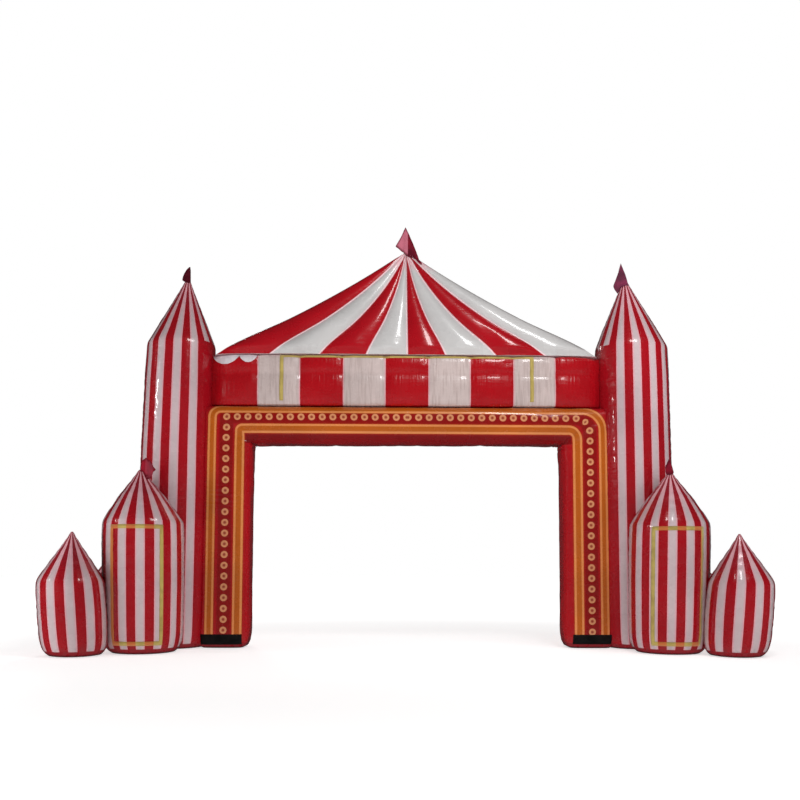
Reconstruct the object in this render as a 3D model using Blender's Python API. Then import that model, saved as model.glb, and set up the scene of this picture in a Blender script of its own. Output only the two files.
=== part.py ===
"""Inflatable circus-tent arch: a sealed-air portal with striped towers, a panelled band and a tent roof.

Metres, +Z up. The front faces -Y, +X is to the viewer's right, and the origin is on the ground under
the middle of the walkway.
"""

import math
from collections import namedtuple

import bmesh
import bpy
from mathutils import Matrix, Vector

# ---------------------------------------------------------------- driving dimensions
GAP = 0.0003  # between neighbouring pieces
SHEET = 0.002  # thickness of the sewn-on tapes, patches and trim
FLAG_CLOTH = 0.003

# Portal: an inverted U of one inflated tube
OPENING_HALF = 1.82
OPENING_HEIGHT = 2.40
LEG_WIDTH = 0.62  # the outer edge is buried in the tall tower
LINTEL_HEIGHT = 0.45
PORTAL_HALF_DEPTH = 0.23
PORTAL_SQUARENESS = 5.0
PORTAL_SECTION_POINTS = 28
FOOT_ROWS = ((0.0, 0.085), (0.02, 0.045), (0.07, 0.014), (0.15, 0.0))  # height, drawn in by

# Band: the panelled strip over the lintel
BAND_BOTTOM = OPENING_HEIGHT + LINTEL_HEIGHT + GAP
BAND_HEIGHT = 0.61
BAND_TOP = BAND_BOTTOM + BAND_HEIGHT
BAND_HALF_DEPTH = 0.25
BAND_PANEL = 0.506
BAND_PANELS = 7  # of full width; the two end panels run into the towers
BAND_SEAM_PINCH = 0.975

# Roof: a shallow tent of eight gores, front and back
ROOF_BASE = BAND_TOP + GAP
ROOF_APEX = 4.765
ROOF_HALF_WIDTH = 2.34
ROOF_HALF_DEPTH = 0.29
ROOF_TIP = 0.035
ROOF_SAG = 0.15
ROOF_FLARE = 0.7
ROOF_GORE_BULGE = 0.035
ROOF_SEAMS = (0.0, 0.225, 0.47, 0.727, 1.0)  # share of the half width, at the eave
ROOF_LEVELS = (0.0, 0.018, 0.05, 0.12, 0.22, 0.34, 0.47, 0.60, 0.73, 0.85, 0.94, 1.0)

# Towers
TOWER_TIP = 0.022
FOOT_DRAW_IN = 0.03
EAVE_ROUND = 0.035

Kind = namedtuple("Kind", "radius eave_radius foot_radius eave apex panels")
KINDS = {
    "tall": Kind(0.440, 0.415, 0.430, 3.605, 4.400, 26),
    "medium": Kind(0.424, 0.412, 0.412, 1.440, 2.027, 26),
    "small": Kind(0.352, 0.350, 0.322, 0.790, 1.315, 22),
    "short": Kind(0.345, 0.340, 0.318, 0.620, 1.085, 22),
}
# white_at: compass turn of one white panel's middle, from -Y towards +X, in degrees
Tower = namedtuple("Tower", "name kind x y lean white_at")
TOWERS = (
    Tower("tall_tower_left", "tall", -2.745, 0.0, 0.082, 6.8),
    Tower("tall_tower_right", "tall", 2.745, 0.0, -0.082, -4.2),
    Tower("medium_tower_front_left", "medium", -2.98, -0.60, 0.0, 12.6),
    Tower("medium_tower_front_right", "medium", 2.98, -0.60, 0.01, -16.2),
    Tower("medium_tower_rear_left", "medium", -2.98, 0.60, 0.0, 12.6),
    Tower("medium_tower_rear_right", "medium", 2.98, 0.60, 0.01, -16.2),
    Tower("small_tower_front_left", "small", -3.63, -0.95, 0.01, 19.5),
    Tower("small_tower_front_right", "small", 3.63, -0.95, 0.0, -19.5),
    Tower("small_tower_rear_left", "small", -3.63, 0.95, 0.01, 19.5),
    Tower("small_tower_rear_right", "small", 3.63, 0.95, 0.0, -19.5),
    Tower("short_tower_left", "short", -3.50, 0.0, 0.0, 0.0),
    Tower("short_tower_right", "short", 3.50, 0.0, 0.0, 0.0),
)
# Each piece is shaped round the bigger ones that it was sewn against
SEWN_AGAINST = {
    "portal": ("tall_tower_left", "tall_tower_right"),
    "band": ("tall_tower_left", "tall_tower_right"),
    "roof": ("tall_tower_left", "tall_tower_right"),
    "medium_tower_front_left": ("tall_tower_left",),
    "medium_tower_rear_left": ("tall_tower_left",),
    "medium_tower_front_right": ("tall_tower_right",),
    "medium_tower_rear_right": ("tall_tower_right",),
    "small_tower_front_left": ("medium_tower_front_left",),
    "small_tower_rear_left": ("medium_tower_rear_left",),
    "small_tower_front_right": ("medium_tower_front_right",),
    "small_tower_rear_right": ("medium_tower_rear_right",),
    "short_tower_left": ("tall_tower_left",),
    "short_tower_right": ("tall_tower_right",),
}

# Hook tape that holds removable banners
TAPE = 0.045
TOWER_TAPE_BOTTOM, TOWER_TAPE_TOP = 0.10, 1.40
TOWER_TAPE_OUTBOARD, TOWER_TAPE_INBOARD = 36.0, 49.0  # degrees either side of straight ahead
BAND_TAPE_HALF = 1.505
BAND_TAPE_BOTTOM, BAND_TAPE_TOP = 0.08, 0.93  # shares of the band's height
BAND_TAPE_TOP_WIDTH = 0.05  # share of the band's height

# Black patch on the front of each foot
PATCH_INNER, PATCH_OUTER = 1.94, 2.33

# White scalloped trim, sewn along the band's upper edge over the left end panel
SCALLOPS = ((-2.26, -1.985, 0.10), (-1.985, -1.775, 0.10))  # from x, to x, drop
SCALLOP_STEPS = 8
SCALLOP_EDGE = 0.018  # least drop, at the points between scallops
TRIM_TOP, TRIM_BEND = 0.98, 0.90  # shares of the band's height: the sewn edge, and where it turns down
TRIM_STAND_OFF = 0.006  # the loose edge's clearance from the band

# Flags: height, and how far the left and the right flap reach
Flag = namedtuple("Flag", "name stands_on height left right")
FLAGS = (
    Flag("flag_roof", "roof", 0.325, 0.118, 0.075),
    Flag("flag_tall_left", "tall_tower_left", 0.180, 0.070, 0.040),
    Flag("flag_tall_right", "tall_tower_right", 0.270, 0.045, 0.050),
    Flag("flag_medium_front_left", "medium_tower_front_left", 0.150, 0.030, 0.110),
    Flag("flag_medium_front_right", "medium_tower_front_right", 0.150, 0.065, 0.030),
    Flag("flag_medium_rear_left", "medium_tower_rear_left", 0.150, 0.065, 0.030),
    Flag("flag_medium_rear_right", "medium_tower_rear_right", 0.150, 0.065, 0.030),
)

MATERIALS = {  # base colour, roughness
    "striped_vinyl": ((0.60, 0.12, 0.13, 1.0), 0.32),
    "red_vinyl": ((0.42, 0.012, 0.02, 1.0), 0.32),
    "flag_cloth": ((0.20, 0.01, 0.03, 1.0), 0.75),
    "hook_tape": ((0.72, 0.42, 0.05, 1.0), 0.85),
    "foot_patch": ((0.012, 0.010, 0.012, 1.0), 0.6),
    "white_vinyl": ((0.70, 0.64, 0.66, 1.0), 0.36),
}


# ---------------------------------------------------------------- scene helpers
def clear_scene():
    for obj in list(bpy.data.objects):
        bpy.data.objects.remove(obj, do_unlink=True)


def make_collection(name):
    collection = bpy.data.collections.new(name)
    bpy.context.scene.collection.children.link(collection)
    return collection


def make_materials():
    made = {}
    for name, (colour, roughness) in MATERIALS.items():
        material = bpy.data.materials.new(name)
        material.use_nodes = True
        shader = material.node_tree.nodes["Principled BSDF"]
        shader.inputs["Base Color"].default_value = colour
        shader.inputs["Roughness"].default_value = roughness
        shader.inputs["Metallic"].default_value = 0.0
        material.diffuse_color = colour
        made[name] = material
    return made


def finish(name, bm, material, collection):
    """Turns a closed bmesh into an object with its faces pointing out."""
    bmesh.ops.remove_doubles(bm, verts=bm.verts, dist=1e-6)
    bmesh.ops.recalc_face_normals(bm, faces=bm.faces)
    mesh = bpy.data.meshes.new(name)
    bm.to_mesh(mesh)
    bm.free()
    mesh.shade_smooth()
    mesh.set_sharp_from_angle(angle=math.radians(40))
    if material:
        mesh.materials.append(material)
    obj = bpy.data.objects.new(name, mesh)
    collection.objects.link(obj)
    return obj


def loft(rings):
    """A closed body through rings of equal length, with flat ends."""
    bm = bmesh.new()
    rows = [[bm.verts.new(point) for point in ring] for ring in rings]
    count = len(rows[0])
    for low, high in zip(rows, rows[1:]):
        for i in range(count):
            j = (i + 1) % count
            bm.faces.new((low[i], low[j], high[j], high[i]))
    bm.faces.new(reversed(rows[0]))
    bm.faces.new(rows[-1])
    return bm


def sheet(columns, rows, kept, place, thickness=SHEET):
    """A closed thin body over the kept cells of a grid. place(column, row, lift) gives a point."""
    bm = bmesh.new()
    layers = []
    for lift in (0.0, thickness):
        layers.append([[bm.verts.new(place(c, r, lift)) for r in rows] for c in columns])
    under, over = layers

    def cell(i, j):
        inside = 0 <= i < len(columns) - 1 and 0 <= j < len(rows) - 1
        return inside and kept(i, j)

    for i in range(len(columns) - 1):
        for j in range(len(rows) - 1):
            if not cell(i, j):
                continue
            corners = ((i, j), (i + 1, j), (i + 1, j + 1), (i, j + 1))
            bm.faces.new([over[a][b] for a, b in corners])
            bm.faces.new([under[a][b] for a, b in reversed(corners)])
            beyond = ((i, j - 1), (i + 1, j), (i, j + 1), (i - 1, j))
            for side, neighbour in enumerate(beyond):
                if cell(*neighbour):
                    continue
                (a, b), (c, d) = corners[side], corners[(side + 1) % 4]
                bm.faces.new((under[a][b], under[c][d], over[c][d], over[a][b]))
    loose = [v for v in bm.verts if not v.link_faces]
    bmesh.ops.delete(bm, geom=loose, context="VERTS")
    return bm


def between(low, high, marks):
    """low, high and the marks that lie between them, in order."""
    return [low] + sorted(m for m in marks if low + 1e-4 < m < high - 1e-4) + [high]


# ---------------------------------------------------------------- towers
def tower_profile(kind):
    """(radius, height) from the tip down to the middle of the base."""
    slope = (kind.apex - kind.eave) / (kind.eave_radius - TOWER_TIP)
    return (
        (TOWER_TIP, kind.apex),
        (kind.eave_radius - EAVE_ROUND, kind.eave + EAVE_ROUND * slope),
        (kind.eave_radius, kind.eave),
        (kind.radius, kind.eave * 0.55),
        (kind.foot_radius, 0.17),
        (kind.foot_radius - FOOT_DRAW_IN * 0.5, 0.08),
        (kind.foot_radius - FOOT_DRAW_IN * 1.6, 0.02),
        (kind.foot_radius - FOOT_DRAW_IN * 3.2, 0.0),
    )


def wall_radius(kind, height):
    """Radius of a panel seam at a height, read off the profile."""
    profile = tower_profile(kind)
    for (r_up, z_up), (r_low, z_low) in zip(profile, profile[1:]):
        if z_low <= height <= z_up:
            return r_low + (r_up - r_low) * (height - z_low) / (z_up - z_low)
    return profile[-1][0]


def seam_turns(tower):
    """Compass turns, in degrees, of the seams between a tower's panels."""
    step = 360.0 / KINDS[tower.kind].panels
    return [tower.white_at + step * (i + 0.5) for i in range(-30, 30)]


def round_tower(tower, grow=0.0):
    """A tower turned about its axis with one flat for each panel, then leaned above the eave."""
    kind = KINDS[tower.kind]
    bm = bmesh.new()
    first = math.radians(seam_turns(tower)[0])
    profile = [(0.0, kind.apex + grow)]
    profile += [(r + grow, z + (grow if z >= kind.eave else 0.0)) for r, z in tower_profile(kind)]
    if grow:
        profile[-1] = (profile[-1][0], -0.05)
        profile.append((0.0, -0.05))
    else:
        profile.append((0.0, 0.0))
    points = [bm.verts.new((r * math.sin(first), -r * math.cos(first), z)) for r, z in profile]
    edges = [bm.edges.new(pair) for pair in zip(points, points[1:])]
    bmesh.ops.spin(
        bm,
        geom=points + edges,
        cent=(0.0, 0.0, 0.0),
        axis=(0.0, 0.0, 1.0),
        angle=2.0 * math.pi,
        steps=kind.panels,
        use_merge=True,
    )
    bmesh.ops.remove_doubles(bm, verts=bm.verts, dist=1e-5)
    lean = tower.lean / (kind.apex - kind.eave)
    for vert in bm.verts:
        vert.co.x += lean * max(0.0, vert.co.z - kind.eave)
    bmesh.ops.translate(bm, verts=bm.verts, vec=(tower.x, tower.y, 0.0))
    return bm


def wall_point(tower, turn, height, lift):
    """A point on a tower's flat panels at a compass turn, lifted off the wall."""
    kind = KINDS[tower.kind]
    step = 360.0 / kind.panels
    offset = (turn - tower.white_at) / step
    middle = tower.white_at + step * round(offset)
    half = math.radians(step / 2.0)
    flat = wall_radius(kind, height) * math.cos(half) + lift
    away = math.radians(turn - middle)
    reach = flat / math.cos(away)
    angle = math.radians(turn)
    return (tower.x + reach * math.sin(angle), tower.y - reach * math.cos(angle), height)


def tape_on_tower(tower):
    """A rectangle of tape on the front of a tower."""
    side = 1.0 if tower.x > 0 else -1.0
    low = min(side * TOWER_TAPE_OUTBOARD, -side * TOWER_TAPE_INBOARD)
    high = max(side * TOWER_TAPE_OUTBOARD, -side * TOWER_TAPE_INBOARD)
    kind = KINDS[tower.kind]
    strip = math.degrees(TAPE / kind.radius)
    turns = between(low, high, [low + strip, high - strip] + seam_turns(tower))
    bends = [z for _, z in tower_profile(kind)]
    rows_in = [TOWER_TAPE_BOTTOM + TAPE, TOWER_TAPE_TOP - TAPE]
    heights = between(TOWER_TAPE_BOTTOM, TOWER_TAPE_TOP, rows_in + bends)

    def kept(i, j):
        turn = (turns[i] + turns[i + 1]) / 2.0
        height = (heights[j] + heights[j + 1]) / 2.0
        inside = low + strip < turn < high - strip
        return not (inside and rows_in[0] < height < rows_in[1])

    return sheet(turns, heights, kept, lambda t, z, lift: wall_point(tower, t, z, lift + GAP))


# ---------------------------------------------------------------- portal
def portal_section():
    """(across, depth) round the tube: across 0 at the walkway to 1 outside, depth -1 front to 1 back."""
    points = []
    power = 2.0 / PORTAL_SQUARENESS
    for i in range(PORTAL_SECTION_POINTS):
        angle = 2.0 * math.pi * (i + 0.5) / PORTAL_SECTION_POINTS
        c, s = math.cos(angle), math.sin(angle)
        across = math.copysign(abs(c) ** power, c)
        depth = math.copysign(abs(s) ** power, s)
        points.append((0.5 - 0.5 * across, depth))
    return points


def leg_ring(side, height, draw_in=0.0):
    """One level ring of a leg. side is -1 for the left leg and 1 for the right."""
    ring = []
    for across, depth in portal_section():
        x = OPENING_HALF + draw_in + across * (LEG_WIDTH - 2.0 * draw_in)
        ring.append((side * x, depth * (PORTAL_HALF_DEPTH - draw_in), height))
    return ring


def corner_ring(side):
    ring = []
    for across, depth in portal_section():
        x = OPENING_HALF + across * LEG_WIDTH
        z = OPENING_HEIGHT + across * LINTEL_HEIGHT
        ring.append((side * x, depth * PORTAL_HALF_DEPTH, z))
    return ring


def lintel_ring(x):
    section = portal_section()
    return [(x, d * PORTAL_HALF_DEPTH, OPENING_HEIGHT + a * LINTEL_HEIGHT) for a, d in section]


def portal():
    leg = [leg_ring(-1, z, draw_in) for z, draw_in in FOOT_ROWS]
    leg.append(leg_ring(-1, OPENING_HEIGHT * 0.55))
    left = leg + [corner_ring(-1)]
    right = [[(-x, y, z) for x, y, z in ring] for ring in reversed(left)]
    return loft(left + [lintel_ring(0.0)] + right)


def foot_patch(side):
    """A thin patch that follows the front of a foot, between two rows and some corners of its tube."""
    rows = FOOT_ROWS[1:]
    rings = [leg_ring(side, z, draw_in) for z, draw_in in rows]
    picked = [
        i
        for i, (x, y, _) in enumerate(rings[-1])
        if y < 0.0 and PATCH_INNER <= abs(x) <= PATCH_OUTER
    ]
    picked.sort(key=lambda i: rings[-1][i][0])

    def place(i, row, lift):
        x, y, z = rings[row][i]
        return (x, y - lift - GAP * 2.0, z)

    return sheet(picked, list(range(len(rows))), lambda i, j: True, place)


# ---------------------------------------------------------------- band
BAND_FRONT = (  # depth share, height share: up the front, with a crease above the middle
    (0.00, 0.00),
    (0.72, 0.00),
    (0.92, 0.035),
    (1.00, 0.14),
    (1.01, 0.36),
    (0.975, 0.50),
    (0.95, 0.57),
    (0.99, 0.64),
    (1.02, 0.76),
    (0.99, 0.90),
    (0.88, 0.98),
    (0.70, 1.00),
)
BAND_END = ((1.86, 1.00), (2.02, 0.95), (2.14, 0.86), (2.23, 0.70), (2.36, 0.45))  # x, depth share


def band_stations():
    """(x, depth share) from the left tower to the right one, drawn in at each panel seam."""
    half = BAND_PANEL * BAND_PANELS / 2.0
    stations = []
    for i in range(BAND_PANELS):
        stations.append((-half + i * BAND_PANEL, BAND_SEAM_PINCH))
        stations.append((-half + (i + 0.5) * BAND_PANEL, 1.0))
    stations.append((half, BAND_SEAM_PINCH))
    left = [(-x, share) for x, share in reversed(BAND_END)]
    return left + stations + list(BAND_END)


def band():
    rings = []
    for x, share in band_stations():
        front = [(x, -d * share * BAND_HALF_DEPTH, BAND_BOTTOM + h * BAND_HEIGHT) for d, h in BAND_FRONT]
        middle = (x, 0.0, BAND_TOP)
        back = [(x, -y, z) for x, y, z in reversed(front[1:])]
        rings.append(front + [middle] + back)
    return loft(rings)


def share_at(table, value):
    """Straight-line reading of a table of (value, share)."""
    for (v0, s0), (v1, s1) in zip(table, table[1:]):
        if v0 <= value <= v1:
            return s0 + (s1 - s0) * (value - v0) / (v1 - v0)
    return table[-1][1]


def band_front_point(x, height_share, lift):
    """A point on the band's front face, lifted towards the viewer."""
    depths = [(h, d) for d, h in BAND_FRONT[1:]]
    share = share_at(band_stations(), x) * share_at(depths, height_share)
    return (x, -share * BAND_HALF_DEPTH - lift, BAND_BOTTOM + height_share * BAND_HEIGHT)


def tape_on_band():
    """Three sides of a tape rectangle: along the top and down both ends."""
    inner = BAND_TAPE_HALF - TAPE
    stations = [x for x, _ in band_stations()]
    xs = between(-BAND_TAPE_HALF, BAND_TAPE_HALF, [-inner, inner] + stations)
    top_run = BAND_TAPE_TOP - BAND_TAPE_TOP_WIDTH
    shares = [h for _, h in BAND_FRONT[1:]]
    heights = between(BAND_TAPE_BOTTOM, BAND_TAPE_TOP, [top_run] + shares)

    def kept(i, j):
        return abs(xs[i] + xs[i + 1]) / 2.0 > inner or heights[j] > top_run - 1e-6

    return sheet(xs, heights, kept, lambda x, h, lift: band_front_point(x, h, lift + GAP * 2.0))


# ---------------------------------------------------------------- roof
def roof_half_width(level):
    """Half width at a level from 0 at the eave to 1 at the tip, with the sagging outline."""
    straight = ROOF_TIP + (ROOF_HALF_WIDTH - ROOF_TIP) * (1.0 - level)
    return straight - ROOF_SAG * ROOF_HALF_WIDTH * level * (1.0 - level)


def roof_half_depth(level):
    return ROOF_TIP + (ROOF_HALF_DEPTH - ROOF_TIP) * (1.0 - level)


def roof_marks():
    """Eave shares of the seams and of the gores' middles, from the left hip to the right one."""
    seams = sorted({-s for s in ROOF_SEAMS} | set(ROOF_SEAMS))
    marks = []
    for low, high in zip(seams, seams[1:]):
        marks += [(low, 0.0), ((low + high) / 2.0, 1.0)]
    return marks + [(seams[-1], 0.0)]


def roof_point(mark, crown, level, inset):
    """(x, depth) on one face at a level. crown is 1 in the middle of a gore and 0 on a seam."""
    share = mark * (1.0 - ROOF_FLARE * level * (1.0 - abs(mark)))
    width = roof_half_width(level) - inset
    plan = max(0.0, 1.0 - abs(share) ** 6) ** (1.0 / 6.0)
    bulge = ROOF_GORE_BULGE * crown * (1.0 - 0.75 * level) * min(1.0, plan * 1.5)
    depth = (roof_half_depth(level) - inset) * plan + (bulge if inset == 0.0 else bulge * 0.3)
    return share * width, depth


def roof():
    rings = []
    for i, level in enumerate(ROOF_LEVELS):
        inset = (0.03, 0.006)[i] if i < 2 else 0.0
        height = ROOF_BASE + level * (ROOF_APEX - ROOF_BASE)
        points = [roof_point(mark, crown, level, inset) for mark, crown in roof_marks()]
        front = [(x, -d, height) for x, d in points]
        back = [(x, d, height) for x, d in reversed(points[1:-1])]
        rings.append(front + back)
    return loft(rings)


def scallop_drop(x):
    """How far the trim hangs below its sewn edge at x."""
    for start, end, drop in SCALLOPS:
        if start <= x <= end:
            arc = math.sin(math.pi * (x - start) / (end - start))
            return SCALLOP_EDGE + (drop - SCALLOP_EDGE) * max(0.0, arc) ** 0.7
    return SCALLOP_EDGE


def scallop_trim():
    """White cloth sewn along the band's upper edge, hanging over its face in scallops."""
    start, end = SCALLOPS[0][0], SCALLOPS[-1][1]
    marks = [x for x, _ in band_stations()] + [row[1] for row in SCALLOPS[:-1]]
    for left, right, _ in SCALLOPS:
        marks += [left + (right - left) * i / SCALLOP_STEPS for i in range(1, SCALLOP_STEPS)]

    def place(x, row, lift):
        bottom = TRIM_TOP - scallop_drop(x) / BAND_HEIGHT
        share = (TRIM_TOP, max(TRIM_BEND, (TRIM_TOP + bottom) / 2.0), bottom)[row]
        clear = (GAP * 3.0, TRIM_STAND_OFF, TRIM_STAND_OFF)[row]
        return band_front_point(x, share, lift + clear)

    return sheet(between(start, end, marks), [0, 1, 2], lambda i, j: True, place)


# ---------------------------------------------------------------- flags
FLAG_SHAPE = (  # reach share, lower edge, upper edge (shares of the height), fold towards the viewer
    (-1.00, 0.30, 0.36, 0.55),
    (-0.55, 0.16, 0.62, -0.10),
    (-0.15, 0.02, 0.93, 0.25),
    (0.00, 0.00, 1.00, 0.00),
    (0.25, 0.00, 0.90, 0.30),
    (0.65, 0.02, 0.50, -0.15),
    (1.00, 0.03, 0.10, 0.40),
)
FLAG_FOLD = 0.05


def flag(spec, seat):
    """A limp folded pennant on the tip of a tower or of the roof."""

    def place(i, row, lift):
        reach, low, high, fold = FLAG_SHAPE[i]
        x = reach * (spec.left if reach < 0 else spec.right)
        z = (low + row * (high - low)) * spec.height
        y = -fold * FLAG_FOLD * (0.4 + 0.6 * (1.0 - row)) - lift
        return (seat[0] + x, seat[1] + y + FLAG_CLOTH / 2.0, seat[2] + GAP + z)

    columns = list(range(len(FLAG_SHAPE)))
    return sheet(columns, [0.0, 0.5, 1.0], lambda i, j: True, place, FLAG_CLOTH)


# ---------------------------------------------------------------- assembly
def cut_against(obj, names, cutters):
    """Shapes a piece round its bigger neighbours, with the working gap."""
    for name in names:
        modifier = obj.modifiers.new("sewn_against_" + name, "BOOLEAN")
        modifier.operation = "DIFFERENCE"
        modifier.solver = "EXACT"
        modifier.object = cutters[name]


def main():
    clear_scene()
    parts = make_collection("inflatable_arch")
    helpers = make_collection("cutters")
    paint = make_materials()
    towers = {tower.name: tower for tower in TOWERS}

    cutters = {}
    for name in sorted({name for names in SEWN_AGAINST.values() for name in names}):
        cutter = finish("cut_" + name, round_tower(towers[name], GAP), None, helpers)
        cutter.hide_render = True
        cutter.display_type = "WIRE"
        cutters[name] = cutter

    pieces = {}
    for tower in TOWERS:
        pieces[tower.name] = finish(tower.name, round_tower(tower), paint["striped_vinyl"], parts)
    pieces["portal"] = finish("portal", portal(), paint["red_vinyl"], parts)
    pieces["band"] = finish("band", band(), paint["striped_vinyl"], parts)
    pieces["roof"] = finish("roof", roof(), paint["striped_vinyl"], parts)
    for name, names in SEWN_AGAINST.items():
        cut_against(pieces[name], names, cutters)

    finish("scallop_trim", scallop_trim(), paint["white_vinyl"], parts)
    finish("tape_band", tape_on_band(), paint["hook_tape"], parts)
    for side, word in ((-1, "left"), (1, "right")):
        finish("foot_patch_" + word, foot_patch(side), paint["foot_patch"], parts)
        tape = tape_on_tower(towers["medium_tower_front_" + word])
        finish("tape_tower_" + word, tape, paint["hook_tape"], parts)

    for spec in FLAGS:
        if spec.stands_on == "roof":
            seat = (0.0, 0.0, ROOF_APEX)
        else:
            tower = towers[spec.stands_on]
            seat = (tower.x + tower.lean, tower.y, KINDS[tower.kind].apex)
        finish(spec.name, flag(spec, seat), paint["flag_cloth"], parts)


main()
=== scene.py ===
"""Dressed model of an inflatable circus-tent arch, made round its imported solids.

Metres, +Z up. The front faces -Y, +X is to the viewer's right, and the walkway's middle is the origin.
Every inflated chamber is shaped panel by panel, puffed up as cloth under air pressure, fitted against
the chambers that it is sewn to, and dressed in coated cloth.
"""

import sys
import logging
import math
from collections.abc import Callable, Iterable, Sequence
from dataclasses import dataclass, field
from enum import Enum

import bmesh
import bpy
import numpy as np
from mathutils import Matrix, Vector, noise
from mathutils.bvhtree import BVHTree


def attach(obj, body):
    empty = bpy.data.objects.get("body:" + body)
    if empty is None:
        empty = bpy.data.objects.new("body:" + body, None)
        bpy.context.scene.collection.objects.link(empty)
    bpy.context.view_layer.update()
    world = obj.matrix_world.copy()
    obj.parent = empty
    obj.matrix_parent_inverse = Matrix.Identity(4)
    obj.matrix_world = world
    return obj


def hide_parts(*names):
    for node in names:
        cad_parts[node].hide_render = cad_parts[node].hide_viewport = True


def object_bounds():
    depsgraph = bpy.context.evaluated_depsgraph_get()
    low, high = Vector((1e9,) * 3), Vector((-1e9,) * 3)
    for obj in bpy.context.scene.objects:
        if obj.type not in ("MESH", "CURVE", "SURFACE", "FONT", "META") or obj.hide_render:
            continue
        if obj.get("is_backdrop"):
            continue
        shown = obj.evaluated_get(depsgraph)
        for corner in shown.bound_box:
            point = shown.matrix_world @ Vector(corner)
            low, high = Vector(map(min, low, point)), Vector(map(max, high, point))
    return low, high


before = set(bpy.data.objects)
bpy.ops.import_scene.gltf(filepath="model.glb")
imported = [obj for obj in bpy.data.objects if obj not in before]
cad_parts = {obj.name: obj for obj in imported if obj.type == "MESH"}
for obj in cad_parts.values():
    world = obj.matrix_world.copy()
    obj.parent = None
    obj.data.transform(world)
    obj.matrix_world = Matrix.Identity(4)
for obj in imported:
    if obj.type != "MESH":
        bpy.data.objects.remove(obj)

CAD_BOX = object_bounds()
LOG = logging.getLogger("arch")

Point = tuple[float, float, float]
Colour = tuple[float, float, float]
Chamber = tuple[bpy.types.Object, list[int]]  # its cloth and the points that the air can't move
Outline = tuple[tuple[float, float, float], ...]

PANEL_MAP = "panels"  # panel number and share across it, metres along it
SEAM_MAP = "seams"  # metres from the nearest seam, and a number that differs from panel to panel
FITTED_GAP = 0.002  # between chambers that press on each other
WHITE = (1.0, 1.0, 1.0)
BLACK = (0.0, 0.0, 0.0)
VIEWER_SIDE = -2.0  # a place along Y that is clear of the arch, in front of it
TO_VIEWER = (0.0, -1.0, 0.0)
ANYWHERE = 1e9  # further than any ray has to reach


# ---------------------------------------------------------------- cloth finishes
def from_screen(red: int, green: int, blue: int) -> Colour:
    """A colour as a screen shows it, made linear.

    Args:
        red: From 0 to 255, as are green and blue.
        green: See red.
        blue: See red.

    Returns:
        The three linear shares.
    """

    def linear(value: float) -> float:
        """One linear share."""
        return value / 12.92 if value <= 0.04045 else ((value + 0.055) / 1.055) ** 2.4

    return (linear(red / 255.0), linear(green / 255.0), linear(blue / 255.0))


class Layout(Enum):
    """How the colours of a coated cloth are laid out."""

    PANELS = "red and white panels"
    PRINT = "gold lines and lamp rings on red"


class Value:
    """A number or a colour that a material works out, so that sums with it read as sums do."""

    def __init__(self, bench: "ShaderBench", socket: bpy.types.NodeSocket) -> None:
        """Keeps the socket that gives the value, and its bench."""
        self.bench, self.socket = bench, socket

    def __add__(self, other: object) -> "Value":
        """Both together."""
        return self.bench.sum("ADD", self, other)

    def __sub__(self, other: object) -> "Value":
        """This less the other."""
        return self.bench.sum("SUBTRACT", self, other)

    def __mul__(self, other: object) -> "Value":
        """One times the other."""
        return self.bench.sum("MULTIPLY", self, other)

    def __truediv__(self, other: object) -> "Value":
        """This in parts of the other."""
        return self.bench.sum("DIVIDE", self, other)

    def __mod__(self, other: object) -> "Value":
        """What is left of this after whole others."""
        return self.bench.sum("MODULO", self, other)

    def __pow__(self, power: float) -> "Value":
        """This to a power."""
        return self.bench.sum("POWER", self, power)

    def __abs__(self) -> "Value":
        """This without its sign."""
        return self.bench.sum("ABSOLUTE", self)

    def __gt__(self, other: object) -> "Value":
        """1 where this is the greater, and 0 elsewhere."""
        return self.bench.sum("GREATER_THAN", self, other)

    def __lt__(self, other: object) -> "Value":
        """1 where this is the smaller, and 0 elsewhere."""
        return self.bench.sum("LESS_THAN", self, other)

    def at_least(self, other: object) -> "Value":
        """The greater of the two."""
        return self.bench.sum("MAXIMUM", self, other)

    def at_most(self, other: object) -> "Value":
        """The smaller of the two."""
        return self.bench.sum("MINIMUM", self, other)


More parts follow.
